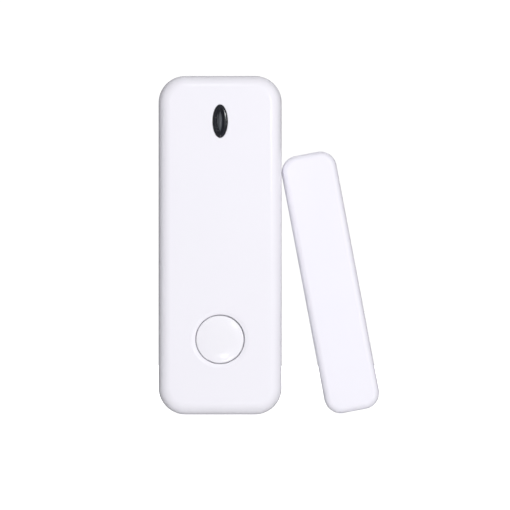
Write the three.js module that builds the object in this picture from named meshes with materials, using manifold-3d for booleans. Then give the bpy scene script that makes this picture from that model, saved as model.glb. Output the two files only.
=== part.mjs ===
// Door contact sensor: a wireless transmitter in a two-part case, and the magnet that it watches.
// All sizes are millimetres. Each of the two units is drawn lying on its back: x runs across it, y along
// its length and z from the mounting face to the front. The groups at the end stand them against a wall.
import * as THREE from "three";
import { mergeVertices } from "three/addons/utils/BufferGeometryUtils.js";
import Module from "manifold-3d";

const wasm = await Module();
wasm.setup();

// ---------- driving dimensions ----------

// corner is the outside corner round. cornerWithin is the round that the inside outlines are drawn in from,
// tight enough to leave room for the board and the battery contacts.
const sensor = {
  width: 36, length: 99, depth: 16, corner: 7.8, cornerWithin: 7, fillet: 3.6, wall: 1.8, seam: 4.6,
};
const magnet = {
  width: 16.2, length: 76.6, depth: 13, corner: 4.8, cornerWithin: 4.8, fillet: 1.9, wall: 1.4, seam: 2.8,
};

const magnetLean = THREE.MathUtils.degToRad(10.7); // the magnet unit leans its top corner on the sensor
const magnetTouch = 0.06; // open line where the two cases touch
const magnetCentreZ = -10.9; // height of the magnet unit's centre over the sensor's centre

const padThickness = 1; // foam tape behind each unit
const sensorPad = { width: 26, length: 82, corner: 3 };
const magnetPad = { width: 10.6, length: 66, corner: 2 };
const seamGap = 0.3; // open line between a cover and its base
const slideFit = 0.15; // clearance between a cover's wall and the tongue inside it
const tongueWall = 1.2;
const tongueReach = 1.8; // how far a base's tongue goes into its cover

const lens = { y: 36.2, width: 4.2, length: 9.5, gap: 0.12, flange: 1.1, flangeDepth: 1 };
const guide = { halfWidth: 0.8, halfLength: 3.1, gap: 0.1, rearReach: 1.4 };
const button = { y: -27.5, radius: 7, gap: 0.25, flangeRadius: 8.2, flangeDepth: 0.9, proud: 0.2 };

const board = { width: 29.2, bottom: -34.2, top: 46, corner: 3.4, thickness: 1.2, rise: 3.2 };
const screwSpots = [
  { name: "board_screw_upper", x: -11, y: 40.4 },
  { name: "board_screw_lower", x: 11, y: -30 },
];
const pinSpots = [
  { x: 11, y: 40.4 },
  { x: -11, y: -30 },
];
const screw = { headRadius: 1.9, headHeight: 1.3, shankRadius: 0.95, length: 4.4 };
const bossRadius = 2.3; // of the posts under the board
const pinRadius = 0.9;
const holeFit = 0.15; // clearance of a screw or pin in its hole

const battery = { radius: 5.15, length: 27.4, nubRadius: 2.6, nubLength: 0.9, y: -41, right: 15.4 };
const contact = { thickness: 0.3, outer: 16, width: 6, low: 3.2, high: 11.6 };
const saddleSpots = [-7, 8]; // the two cradle walls under the battery
const saddleFit = 0.2; // clearance between the battery and what it lies in

const bar = { width: 10, length: 40, thickness: 5 }; // the ferrite magnet itself

const switchHalf = 3; // half the side of the square push switch
const switchHeight = 3.5;
const plungerHeight = 5;
const reedHeight = 1.5; // the reed's middle line over the board
const coilHeight = 1.7;
const aerial = { radius: 2.1, length: 15, wire: 0.4, turns: 8, height: 2.8 };

const arcSteps = 3; // three.js gives an arc twice this many steps
const roundSides = 36;
const overlap = 0.2; // how far one shape is sunk into another before they are joined

// ---------- derived levels, from the wall up ----------

const sensorFloor = padThickness + sensor.wall;
const coverInside = sensor.depth - sensor.wall;
const boardBack = sensorFloor + board.rise;
const boardFront = boardBack + board.thickness;
const batteryAxis = sensorFloor + 0.25 + battery.radius;
const batteryLeft = battery.right - battery.nubLength - battery.length;
const magnetFloor = padThickness + magnet.wall;
const plungerTop = boardFront + plungerHeight;

// ---------- materials ----------

function material(color, roughness, metalness = 0) {
  return new THREE.MeshStandardMaterial({ color, roughness, metalness });
}

const glossWhite = material(0xf3f2f9, 0.18);
const satinWhite = material(0xf1f0f8, 0.4);
const buttonWhite = material(0xf6f5fb, 0.15);
const smokedLens = material(0x1c1d22, 0.1);
const greyLens = material(0x6c7078, 0.2);
const boardGreen = material(0x14532d, 0.45);
const blackPlastic = material(0x17181a, 0.5);
const ledPlastic = material(0xcfe3f5, 0.15);
const clearGlass = material(0xcfe5dc, 0.05);
const tinnedSteel = material(0xb9bcc0, 0.3, 1);
const goldWire = material(0xc79a4b, 0.35, 1);
const canSleeve = material(0x24252b, 0.4);
const batterySleeve = material(0xc9a227, 0.35, 0.4);
const ferrite = material(0x2b2b2d, 0.7);
const foam = material(0xe9e9e6, 0.95);

// ---------- solids ----------

// A closed geometry as a manifold-3d solid, ready to join and cut.
function solid(geometry) {
  const loose = geometry.index ? geometry.toNonIndexed() : geometry;
  const bare = new THREE.BufferGeometry().setAttribute("position", loose.getAttribute("position"));
  const merged = mergeVertices(bare, 1e-4);
  const vertProperties = merged.attributes.position.array;
  const triVerts = new Uint32Array(merged.index.array);
  return new wasm.Manifold(new wasm.Mesh({ numProp: 3, vertProperties, triVerts }));
}

function join(...geometries) {
  return geometries.map(solid).reduce((sum, next) => sum.add(next));
}

// Cuts tool geometries out of a solid and gives the geometry back.
function cut(body, ...tools) {
  const left = tools.map(solid).reduce((rest, tool) => rest.subtract(tool), body);
  const mesh = left.getMesh();
  return new THREE.BufferGeometry()
    .setAttribute("position", new THREE.BufferAttribute(new Float32Array(mesh.vertProperties), 3))
    .setIndex(new THREE.BufferAttribute(new Uint32Array(mesh.triVerts), 1));
}

// A span from near to far on one side of the centre, side being -1 or 1.
function sided(side, near, far) {
  return [near * side, far * side].sort((a, b) => a - b);
}

function box([x0, x1], [y0, y1], [z0, z1]) {
  const geometry = new THREE.BoxGeometry(x1 - x0, y1 - y0, z1 - z0);
  return geometry.translate((x0 + x1) / 2, (y0 + y1) / 2, (z0 + z1) / 2);
}

// A round bar along z.
function disc(radius, low, high, x = 0, y = 0, sides = 24) {
  const geometry = new THREE.CylinderGeometry(radius, radius, high - low, sides);
  return geometry.rotateX(Math.PI / 2).translate(x, y, (low + high) / 2);
}

// A turned piece about z. The profile holds [radius, height] points, from the axis below to the axis above.
function turned(profile, sides = roundSides) {
  const points = profile.map(([radius, height]) => new THREE.Vector2(radius, height));
  return new THREE.LatheGeometry(points, sides).rotateX(Math.PI / 2);
}

// Points of a quarter round in a profile, from one angle to another, in degrees.
function quarter(radius, height, size, from, to, steps = 4) {
  const points = [];
  for (let i = 0; i <= steps; i++) {
    const angle = THREE.MathUtils.degToRad(from + ((to - from) * i) / steps);
    points.push([radius + size * Math.cos(angle), height + size * Math.sin(angle)]);
  }
  return points;
}

function roundedOutline(width, length, corner) {
  const [x, y] = [width / 2 - corner, length / 2 - corner];
  const shape = new THREE.Shape();
  shape.absarc(x, -y, corner, -Math.PI / 2, 0);
  shape.absarc(x, y, corner, 0, Math.PI / 2);
  shape.absarc(-x, y, corner, Math.PI / 2, Math.PI);
  shape.absarc(-x, -y, corner, Math.PI, (3 * Math.PI) / 2);
  return shape;
}

// A unit's outline as seen from the front, drawn in from its edge by inset.
function footprint(unit, inset, corner) {
  return roundedOutline(unit.width - 2 * inset, unit.length - 2 * inset, corner - inset);
}

function outside(unit, inset = 0) {
  return footprint(unit, inset, unit.corner);
}

function within(unit, inset) {
  return footprint(unit, inset, unit.cornerWithin);
}

function prism(shape, low, high, curveSegments = arcSteps) {
  const settings = { depth: high - low, curveSegments, bevelEnabled: false };
  return new THREE.ExtrudeGeometry(shape, settings).translate(0, 0, low);
}

function ellipse(width, length, y = 0) {
  const shape = new THREE.Shape();
  shape.absellipse(0, y, width / 2, length / 2, 0, 2 * Math.PI);
  return shape;
}

// The pointed oval of the light guide: two equal arcs that meet above and below.
function pointedOval(halfWidth, halfLength, y = 0) {
  const radius = (halfWidth ** 2 + halfLength ** 2) / (2 * halfWidth);
  const half = Math.asin(halfLength / radius);
  const shape = new THREE.Shape();
  shape.absarc(halfWidth - radius, y, radius, -half, half);
  shape.absarc(radius - halfWidth, y, radius, Math.PI - half, Math.PI + half);
  return shape;
}

// A block with a rounded front edge, from one level up to another. outlineAt(inset) draws its outline.
function roundedBlock(outlineAt, fillet, low, high) {
  const block = new THREE.ExtrudeGeometry(outlineAt(fillet), {
    depth: high - fillet - low,
    bevelThickness: fillet,
    bevelSize: fillet,
    bevelSegments: 6,
    curveSegments: arcSteps,
  }).translate(0, 0, low);
  const behind = prism(outlineAt(-1), low - fillet - 1, low);
  return cut(solid(block), behind);
}

// A hollow cover with walls of the unit's own thickness, open at the seam.
function coverShell(unit) {
  const low = unit.seam + seamGap;
  const outer = solid(roundedBlock((inset) => outside(unit, inset), unit.fillet, low, unit.depth));
  const inner = (inset) => within(unit, unit.wall + inset);
  const hollow = roundedBlock(inner, unit.wall, low - 2, unit.depth - unit.wall);
  return outer.subtract(solid(hollow));
}

// A shallow tray with a tongue all round that goes inside the cover.
function baseTray(unit) {
  const floor = padThickness + unit.wall;
  const tongueOuter = unit.wall + slideFit;
  const tongueTop = unit.seam + tongueReach;
  const tray = join(
    prism(outside(unit), padThickness, unit.seam),
    prism(within(unit, tongueOuter), floor, tongueTop),
  );
  return tray.subtract(solid(prism(within(unit, tongueOuter + tongueWall), floor, tongueTop + 1)));
}

// A round wire that follows a curve, as a closed tube.
function wire(curve, radius, steps, sides = 8) {
  const section = new THREE.Shape();
  for (let i = 0; i < sides; i++) {
    const angle = (2 * Math.PI * i) / sides;
    section[i ? "lineTo" : "moveTo"](radius * Math.cos(angle), radius * Math.sin(angle));
  }
  return new THREE.ExtrudeGeometry(section, { steps, extrudePath: curve, bevelEnabled: false });
}

// A coil about x whose radius runs from one size to another.
function coilPoints(turns, from, to, radiusFrom, radiusTo, perTurn = 12) {
  const points = [];
  for (let i = 0; i <= turns * perTurn; i++) {
    const share = i / (turns * perTurn);
    const radius = radiusFrom + (radiusTo - radiusFrom) * share;
    const angle = (2 * Math.PI * i) / perTurn;
    const x = from + (to - from) * share;
    points.push(new THREE.Vector3(x, radius * Math.cos(angle), radius * Math.sin(angle)));
  }
  return points;
}

function add(group, name, geometry, finish, x = 0, y = 0, z = 0) {
  const mesh = new THREE.Mesh(geometry, finish);
  mesh.name = name;
  mesh.position.set(x, y, z);
  group.add(mesh);
  return mesh;
}

// ---------- the sensor's case ----------

// A rib round an opening on the inside of the front wall.
function insideRib(outer, inner, depth) {
  const wall = solid(prism(outer, coverInside - depth, coverInside + overlap, 8));
  return wall.subtract(solid(prism(inner, coverInside - depth - 1, coverInside + 1, 8)));
}

function frontCover() {
  const { flange, flangeDepth, gap } = lens;
  const seatWidth = lens.width + 2 * (flange + gap);
  const seatLength = lens.length + 2 * (flange + gap);
  const seatWall = 0.8;
  const lensSeat = insideRib(
    ellipse(seatWidth + 2 * seatWall, seatLength + 2 * seatWall, lens.y),
    ellipse(seatWidth, seatLength, lens.y),
    flangeDepth,
  );
  const guideWall = 1;
  const guideDepth = 1.6;
  const guideInner = 2 * (button.flangeRadius + button.gap);
  const guideOuter = guideInner + 2 * guideWall;
  const buttonGuide = insideRib(
    ellipse(guideOuter, guideOuter, button.y),
    ellipse(guideInner, guideInner, button.y),
    guideDepth,
  );
  const through = [coverInside - 2, sensor.depth + 1];
  const lensHole = prism(ellipse(lens.width + 2 * gap, lens.length + 2 * gap, lens.y), ...through, 10);
  const buttonHole = disc(button.radius + button.gap, ...through, 0, button.y, roundSides);
  return cut(coverShell(sensor).add(lensSeat).add(buttonGuide), lensHole, buttonHole);
}

// A half-round cradle wall that the battery lies in.
function batterySaddle(x) {
  const half = battery.radius + 0.15;
  const wall = box(
    [x - 0.6, x + 0.6],
    [battery.y - half, battery.y + half],
    [sensorFloor - overlap, batteryAxis - 1],
  );
  return solid(cut(solid(wall), batteryRoom(x - 2, x + 2)));
}

// The round room that the battery needs between two places along x.
function batteryRoom(from, to) {
  const room = disc(battery.radius + saddleFit, from, to, 0, 0, 32);
  return room.rotateY(Math.PI / 2).translate(0, battery.y, batteryAxis);
}

function rearHousing() {
  const posts = [...screwSpots, ...pinSpots].map(({ x, y }) =>
    disc(bossRadius, sensorFloor - overlap, boardBack, x, y, 20),
  );
  const pins = pinSpots.map(({ x, y }) => disc(pinRadius, boardBack - overlap, boardFront + 0.5, x, y, 16));
  const dividerY = [board.bottom - 1.1, board.bottom - 0.3];
  const divider = box([-14.9, 14.9], dividerY, [sensorFloor - overlap, boardBack]);
  const saddles = saddleSpots.map(batterySaddle);
  const tray = saddles.reduce((sum, saddle) => sum.add(saddle), join(...posts, ...pins, divider));

  const pilotRadius = screw.shankRadius + 0.1;
  const pilots = screwSpots.map(({ x, y }) => disc(pilotRadius, sensorFloor, boardBack + 1, x, y, 16));
  const tongueInner = sensor.width / 2 - sensor.wall - slideFit - tongueWall;
  const slotY = [battery.y - contact.width / 2 - 0.6, battery.y + contact.width / 2 + 0.6];
  const slotZ = [sensorFloor, sensor.seam + tongueReach + 1];
  const contactSlots = [-1, 1].map((side) =>
    box(sided(side, tongueInner - 0.2, contact.outer + 0.2), slotY, slotZ),
  );
  const notchY = [-sensor.length / 2 - 1, -sensor.length / 2 + 1.2];
  const pryNotch = box([-4, 4], notchY, [sensor.seam - 0.9, sensor.seam + 1]);
  const bay = batteryRoom(batteryLeft - 0.3, battery.right);
  return cut(tray.add(baseTray(sensor)), ...pilots, ...contactSlots, pryNotch, bay);
}

// ---------- what the front cover carries ----------

function ledLens() {
  const { width, length, flange, flangeDepth } = lens;
  const crown = 0.5; // rounding of the front edge
  const dome = new THREE.ExtrudeGeometry(ellipse(width - 2 * crown, length - 2 * crown), {
    depth: sensor.wall,
    bevelThickness: crown,
    bevelSize: crown,
    bevelSegments: 4,
    curveSegments: 10,
  }).translate(0, 0, coverInside - crown + overlap);
  const rimOutline = ellipse(width + 2 * flange, length + 2 * flange);
  const rim = prism(rimOutline, coverInside - flangeDepth, coverInside, 10);
  const { halfWidth, halfLength, gap } = guide;
  const guideOutline = pointedOval(halfWidth + gap, halfLength + 2 * gap);
  return cut(join(dome, rim), prism(guideOutline, coverInside - 3, sensor.depth + 2, 6));
}

function lightGuide() {
  const { halfWidth, halfLength, rearReach } = guide;
  const sunk = 0.15; // how far the tip lies below the cover's front
  const low = coverInside - rearReach;
  const tip = prism(pointedOval(halfWidth, halfLength), low, sensor.depth - sunk, 6);
  const foot = prism(ellipse(3, 7.6), low - 0.4, coverInside - lens.flangeDepth - 0.1, 8);
  return cut(join(tip, foot));
}

function buttonCap() {
  const { radius, flangeRadius, flangeDepth, proud } = button;
  const flangeTop = coverInside - 0.1;
  const flangeLow = flangeTop - flangeDepth;
  const skin = 1.3; // wall of the hollow cap
  const stem = 1.8;
  const top = sensor.depth + proud;
  const stemLow = plungerTop + 0.05;
  return turned([
    [0, stemLow],
    [stem, stemLow],
    [stem, top - skin],
    [radius - skin, top - skin - 0.2],
    [radius - skin, flangeLow],
    [flangeRadius, flangeLow],
    [flangeRadius, flangeTop],
    [radius, flangeTop],
    ...quarter(radius - 0.7, top - 0.95, 0.7, 0, 80),
    [radius / 2, top - 0.08],
    [0, top],
  ]);
}

// ---------- the board and what is soldered to it ----------

function mainBoard() {
  const centre = (board.bottom + board.top) / 2;
  const shape = roundedOutline(board.width, board.top - board.bottom, board.corner);
  const holes = [
    ...screwSpots.map((spot) => ({ ...spot, radius: screw.shankRadius + holeFit })),
    ...pinSpots.map((spot) => ({ ...spot, radius: pinRadius + holeFit })),
  ];
  for (const { x, y, radius } of holes) {
    const hole = new THREE.Path();
    hole.absarc(x, y - centre, radius, 0, 2 * Math.PI);
    shape.holes.push(hole);
  }
  return prism(shape, boardBack, boardFront, 6).translate(0, centre, 0);
}

function boardScrew() {
  const { headRadius, headHeight, shankRadius, length } = screw;
  const body = turned(
    [[0, -length], [0.3, -length], [shankRadius, -length + 1], [shankRadius, 0], [headRadius, 0]].concat(
      quarter(headRadius - 0.7, headHeight - 0.7, 0.7, 0, 90, 3),
      [[0, headHeight]],
    ),
    18,
  );
  const slotZ = [headHeight - 0.7, headHeight + 1];
  const slots = [box([-1.1, 1.1], [-0.2, 0.2], slotZ), box([-0.2, 0.2], [-1.1, 1.1], slotZ)];
  return cut(solid(body), ...slots);
}

// The four places at the corners of a piece, as pairs of signs.
const fourCorners = [-1, 1].flatMap((side) => [-1, 1].map((end) => [side, end]));

function switchBase() {
  const half = switchHalf;
  const height = switchHeight - 0.3;
  const legs = fourCorners.map(([side, end]) =>
    box(sided(side, half - 0.4, half + 0.7), sided(end, 1.65, 2.35), [0.02, 0.4]),
  );
  const body = join(box([-half, half], [-half, half], [0.02, height]), ...legs);
  return cut(body, disc(2, height - 1.2, height + 1));
}

function switchPlate() {
  const half = switchHalf;
  const plate = box([-half, half], [-half, half], [switchHeight - 0.28, switchHeight]);
  const rivets = fourCorners.map(([side, end]) =>
    disc(0.45, switchHeight - 0.1, switchHeight + 0.15, 2.3 * side, 2.3 * end, 12),
  );
  return cut(join(plate, ...rivets), disc(1.95, 0, plungerHeight + 1));
}

function switchPlunger() {
  const low = switchHeight - 1.1;
  const round = 0.3;
  const edge = quarter(1.75 - round, plungerHeight - round, round, 0, 90, 2);
  return turned([[0, low], [1.75, low], ...edge, [0, plungerHeight]], 24);
}

function statusLed() {
  const rim = 1.9;
  const radius = 1.5;
  const dome = quarter(0, 3.2, radius, 0, 90, 5);
  return turned([[0, 0.1], [rim, 0.1], [rim, 1], [radius, 1], ...dome], 20);
}

function reedGlass() {
  const radius = 1.1;
  const half = 7;
  const end = [[0, -half], ...quarter(0, -half + radius, radius, -75, 0, 4)];
  const mirrored = end.map(([r, z]) => [r, -z]).reverse();
  return turned([...end, ...mirrored], 20).rotateX(-Math.PI / 2);
}

// A lead that leaves the glass end along y and bends down to its pad on the board.
function reedLead(direction) {
  const [start, out, low] = [7.05, 10.4, -1.45];
  const points = [
    [0, start, 0],
    [0, start + 1.6, 0],
    [0, out - 0.5, -0.15],
    [0, out, -0.6],
    [0, out, low],
  ];
  const path = points.map(([x, y, z]) => new THREE.Vector3(x, y * direction, z));
  return wire(new THREE.CatmullRomCurve3(path), 0.28, 14);
}

// A small chip with gull-wing legs on its two long sides.
function chip(width, length, height, legsPerSide, pitch) {
  const legs = [];
  for (let i = 0; i < legsPerSide; i++) {
    const y = (i - (legsPerSide - 1) / 2) * pitch;
    legs.push(box([-width / 2 - 1, width / 2 + 1], [y - 0.2, y + 0.2], [0.02, 0.28]));
  }
  return cut(join(box([-width / 2, width / 2], [-length / 2, length / 2], [0.15, height]), ...legs));
}

function resonatorCan() {
  const edge = quarter(3.6, 2.8, 0.5, 0, 90, 3);
  return turned([[0, 0.1], [4.6, 0.1], [4.6, 0.7], [4.1, 0.7], ...edge, [0, 3.3]], 28);
}

function capacitorCan() {
  const groove = [[2.5, 0.9], [2.3, 1.2], [2.5, 1.5]];
  const edge = quarter(2.1, 4.7, 0.4, 0, 90, 2);
  return turned([[0, 0.1], [2.5, 0.1], ...groove, ...edge, [0, 5.1]], 24);
}

function rfCoil() {
  return wire(new THREE.CatmullRomCurve3(coilPoints(4, -1.8, 1.8, 1.3, 1.3, 10)), 0.25, 48, 6);
}

// The spring aerial: a coil along y with one end turned down to the board.
function springAerial() {
  const { radius, length, turns } = aerial;
  const coil = coilPoints(turns, 0, length, radius, radius).map(({ x, y, z }) => new THREE.Vector3(y, x, z));
  const foot = [new THREE.Vector3(radius, -1.1, -radius - 0.35), new THREE.Vector3(radius, -0.9, -1.4)];
  return wire(new THREE.CatmullRomCurve3([...foot, ...coil]), aerial.wire, 104, 6);
}

// ---------- the battery and its contacts ----------

function batteryCell() {
  const { radius, length, nubRadius, nubLength } = battery;
  const round = 0.5;
  const profile = [
    [0, 0],
    ...quarter(radius - round, round, round, -90, 0, 2),
    ...quarter(radius - round, length - round, round, 0, 90, 2),
    [nubRadius, length],
    [nubRadius, length + nubLength],
    [0, length + nubLength],
  ];
  return turned(profile, 32).rotateY(Math.PI / 2);
}

// A spring-steel plate that stands at one end of the battery, with an arm that reaches the board.
function batteryContact(side, dimple) {
  const { thickness, outer, width, low, high } = contact;
  const face = sided(side, outer - thickness, outer);
  const armY = [battery.y + width / 2 - 0.1, board.bottom + 3];
  const armZ = [boardFront + 0.6, boardFront + 2.8];
  const footY = [board.bottom + 1, board.bottom + 3];
  const pieces = [
    box(face, [battery.y - width / 2, battery.y + width / 2], [low, high]),
    box(face, armY, armZ),
    box(sided(side, 13, outer), footY, [boardFront + 0.6, boardFront + 0.9]),
    box(sided(side, 13, 13 + thickness), footY, [boardFront + 0.05, boardFront + 0.9]),
  ];
  if (dimple) {
    const bump = disc(1.5, 0, 0.25, 0, 0, 16).rotateY((-side * Math.PI) / 2);
    pieces.push(bump.translate((outer - thickness + 0.05) * side, battery.y, batteryAxis));
  }
  return cut(join(...pieces));
}

function batterySpring() {
  const near = -contact.outer + contact.thickness + 0.35;
  const far = batteryLeft - 0.35;
  return wire(new THREE.CatmullRomCurve3(coilPoints(3, near, far, 3.6, 2, 14)), 0.28, 54, 6);
}

// ---------- the magnet unit ----------

// The tray, with a stop at each end of the magnet.
function magnetBase() {
  const stopY = bar.length / 2 + 0.15;
  const stops = [-1, 1].map((end) =>
    box([-4, 4], sided(end, stopY, stopY + 1.2), [magnetFloor - overlap, magnetFloor + 3.4]),
  );
  return cut(join(...stops).add(baseTray(magnet)));
}

function magnetBar() {
  const [x, y] = [bar.width / 2, bar.length / 2];
  return box([-x, x], [-y, y], [magnetFloor, magnetFloor + bar.thickness]);
}

function tapePad({ width, length, corner }) {
  return prism(roundedOutline(width, length, corner), 0, padThickness);
}

// ---------- assembly ----------

const part = new THREE.Group();

// Standing the unit up turns its length to +z and its front to -y.
const sensorUnit = new THREE.Group();
sensorUnit.rotation.x = Math.PI / 2;
part.add(sensorUnit);

add(sensorUnit, "front_cover", frontCover(), glossWhite);
add(sensorUnit, "rear_housing", rearHousing(), satinWhite);
add(sensorUnit, "sensor_tape_pad", tapePad(sensorPad), foam);
add(sensorUnit, "led_lens", ledLens(), smokedLens, 0, lens.y);
add(sensorUnit, "light_guide", lightGuide(), greyLens, 0, lens.y);
add(sensorUnit, "button_cap", buttonCap(), buttonWhite, 0, button.y);

add(sensorUnit, "main_board", mainBoard(), boardGreen);
for (const { name, x, y } of screwSpots) {
  add(sensorUnit, name, boardScrew(), tinnedSteel, x, y, boardFront);
}

add(sensorUnit, "switch_base", switchBase(), blackPlastic, 0, button.y, boardFront);
add(sensorUnit, "switch_plate", switchPlate(), tinnedSteel, 0, button.y, boardFront);
add(sensorUnit, "switch_plunger", switchPlunger(), blackPlastic, 0, button.y, boardFront);

add(sensorUnit, "status_led", statusLed(), ledPlastic, 0, lens.y, boardFront);

const reedPlace = [11.4, -4, boardFront + reedHeight];
add(sensorUnit, "reed_glass", reedGlass(), clearGlass, ...reedPlace);
add(sensorUnit, "reed_lead_upper", reedLead(1), tinnedSteel, ...reedPlace);
add(sensorUnit, "reed_lead_lower", reedLead(-1), tinnedSteel, ...reedPlace);

add(sensorUnit, "encoder_chip", chip(3.9, 4.9, 1.6, 4, 1.27), blackPlastic, -1, -10, boardFront);
add(sensorUnit, "rf_transistor", chip(1.4, 2.9, 1.1, 2, 1.9), blackPlastic, 3, 12.5, boardFront);
add(sensorUnit, "saw_resonator", resonatorCan(), tinnedSteel, -8, 21, boardFront);
add(sensorUnit, "storage_capacitor", capacitorCan(), canSleeve, 9.5, 26, boardFront);
add(sensorUnit, "rf_coil", rfCoil(), goldWire, -8, 10.5, boardFront + coilHeight);
add(sensorUnit, "spring_aerial", springAerial(), goldWire, -10, -11.5, boardFront + aerial.height);

add(sensorUnit, "battery", batteryCell(), batterySleeve, batteryLeft, battery.y, batteryAxis);
add(sensorUnit, "battery_positive_contact", batteryContact(1, true), tinnedSteel);
add(sensorUnit, "battery_negative_contact", batteryContact(-1, false), tinnedSteel);
add(sensorUnit, "battery_spring", batterySpring(), tinnedSteel, 0, battery.y, batteryAxis);

// The leaning magnet unit's nearest point is on its upper left corner round.
const cornerX = magnet.width / 2 - magnet.corner;
const cornerY = magnet.length / 2 - magnet.corner;
const reachLeft = cornerX * Math.cos(magnetLean) + cornerY * Math.sin(magnetLean) + magnet.corner;

const magnetUnit = new THREE.Group();
magnetUnit.position.set(sensor.width / 2 + magnetTouch + reachLeft, 0, magnetCentreZ);
magnetUnit.rotation.set(Math.PI / 2, 0, magnetLean);
part.add(magnetUnit);

add(magnetUnit, "magnet_cover", cut(coverShell(magnet)), satinWhite);
add(magnetUnit, "magnet_base", magnetBase(), satinWhite);
add(magnetUnit, "magnet_tape_pad", tapePad(magnetPad), foam);
add(magnetUnit, "magnet_bar", magnetBar(), ferrite);

export default part;
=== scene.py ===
"""Door contact sensor: the fine surface, materials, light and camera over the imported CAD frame.

Shapes are drawn in millimetres in each unit's own frame, lying on its back: x across, y along its length
and z from the mounting face to the front. STAND_UP and MAGNET_UP stand them up in the row's frame, in metres.
"""

from math import asin, cos, pi, radians, sin, sqrt

import bmesh
import bpy
from mathutils import Matrix, Vector


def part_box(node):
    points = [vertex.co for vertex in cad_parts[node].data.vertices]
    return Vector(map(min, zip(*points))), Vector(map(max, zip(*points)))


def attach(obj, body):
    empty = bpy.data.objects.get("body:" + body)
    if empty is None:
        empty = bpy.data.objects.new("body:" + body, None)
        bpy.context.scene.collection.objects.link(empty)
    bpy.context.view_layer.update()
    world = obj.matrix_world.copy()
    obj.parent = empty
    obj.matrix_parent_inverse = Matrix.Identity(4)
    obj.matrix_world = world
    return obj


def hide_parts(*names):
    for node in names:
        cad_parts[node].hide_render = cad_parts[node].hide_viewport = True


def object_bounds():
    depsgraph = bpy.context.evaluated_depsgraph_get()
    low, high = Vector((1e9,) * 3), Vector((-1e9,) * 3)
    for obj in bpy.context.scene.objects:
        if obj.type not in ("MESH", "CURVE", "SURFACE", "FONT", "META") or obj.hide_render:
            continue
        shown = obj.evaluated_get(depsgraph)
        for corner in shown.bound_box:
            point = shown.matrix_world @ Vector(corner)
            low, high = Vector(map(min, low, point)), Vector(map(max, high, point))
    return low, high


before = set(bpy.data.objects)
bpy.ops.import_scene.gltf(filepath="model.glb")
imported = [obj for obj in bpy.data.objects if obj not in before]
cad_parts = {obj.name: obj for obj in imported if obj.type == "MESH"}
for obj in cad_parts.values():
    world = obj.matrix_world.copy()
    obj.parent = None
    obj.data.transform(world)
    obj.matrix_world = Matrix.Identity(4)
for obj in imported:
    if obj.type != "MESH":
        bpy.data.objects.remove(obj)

CAD_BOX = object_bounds()
scene = bpy.context.scene

# ---------- outlines: lists of (x, y) points ----------


def rounded(width, length, corner, steps, cx=0, cy=0):
    """A rectangle with rounded corners."""
    points = []
    for turn, (sx, sy) in enumerate(((1, -1), (1, 1), (-1, 1), (-1, -1))):
        for i in range(steps + 1):
            angle = pi / 2 * (turn - 1 + i / steps)
            x = sx * (width / 2 - corner) + corner * cos(angle)
            y = sy * (length / 2 - corner) + corner * sin(angle)
            points.append((cx + x, cy + y))
    return points


def rounded_at(width, length, corner, steps=14, cx=0, cy=0):
    """A function that draws a rounded rectangle smaller by an inset all round."""
    return lambda inset: rounded(width - 2 * inset, length - 2 * inset, corner - inset, steps, cx, cy)


def oval(half_x, half_y, cx, cy, sides):
    """An ellipse."""
    angles = [2 * pi * i / sides for i in range(sides)]
    return [(cx + half_x * cos(a), cy + half_y * sin(a)) for a in angles]


def round_at(radius, cx=0, cy=0, sides=48):
    return oval(radius, radius, cx, cy, sides)


def quarter(size, steps):
    """(inset, down) steps of a quarter round, from a side up to the flat face over it."""
    turns = [pi / 2 * i / steps for i in range(steps + 1)]
    return [(size * (1 - cos(t)), size * (1 - sin(t))) for t in turns]


def arc(radius, height, size, start, end, steps=6):
    """Points of a round in a turned profile, from one angle to another, in degrees."""
    angles = [radians(start + (end - start) * i / steps) for i in range(steps + 1)]
    return [(radius + size * cos(a), height + size * sin(a)) for a in angles]


# ---------- sizes, in millimetres ----------

MM = 0.001
SIDES = (-1, 1)
CORNERS = [(side, end) for side in SIDES for end in SIDES]


def box_mm(node):
    """A sensor node's box in the unit's own frame: ((x0, x1), (y0, y1), (z0, z1))."""
    low, high = (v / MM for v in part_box(node))
    return (low.x, high.x), (low.z, high.z), (-high.y, -low.y)


def middle(node):
    """The middle of a sensor node across and along."""
    xs, ys, _ = box_mm(node)
    return sum(xs) / 2, sum(ys) / 2


def span(pair):
    return pair[1] - pair[0]


PAD_THICKNESS = 1
SEAM_GAP = 0.3
LIP = 0.18  # rounding of a cover's rim and of a tray's edges
TONGUE_OUTER = 0.15  # clearance between a cover's wall and the tongue inside it
TONGUE_WALL = 1.2
TONGUE_REACH = 1.8


class Case:
    """One unit's case: its outline, its levels and its wall. Its corners are rounder outside than within."""

    def __init__(self, width, length, depth, corner, corner_within, fillet, wall, seam):
        self.length, self.depth, self.fillet, self.wall, self.seam = length, depth, fillet, wall, seam
        self.outside = rounded_at(width, length, corner)
        self.within = rounded_at(width, length, corner_within)
        self.floor = PAD_THICKNESS + wall
        self.ceiling = depth - wall


case_x, case_y, case_z = box_mm("front_cover")
SENSOR = Case(
    width=span(case_x), length=span(case_y), depth=case_z[1],
    corner=7.8, corner_within=7, fillet=3.6, wall=1.8, seam=4.6,
)
MAGNET = Case(
    width=16.2, length=76.6, depth=13, corner=4.8, corner_within=4.8, fillet=1.9, wall=1.4, seam=2.8
)
MAGNET_LEAN = radians(10.7)

STAND_UP = Matrix(((MM, 0, 0, 0), (0, 0, -MM, 0), (0, MM, 0, 0), (0, 0, 0, 1)))
magnet_low, magnet_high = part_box("magnet_cover")
magnet_centre = (magnet_low + magnet_high) / 2
magnet_place = Matrix.Translation((magnet_centre.x, 0, magnet_centre.z))
MAGNET_UP = magnet_place @ STAND_UP @ Matrix.Rotation(MAGNET_LEAN, 4, "Z")

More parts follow.
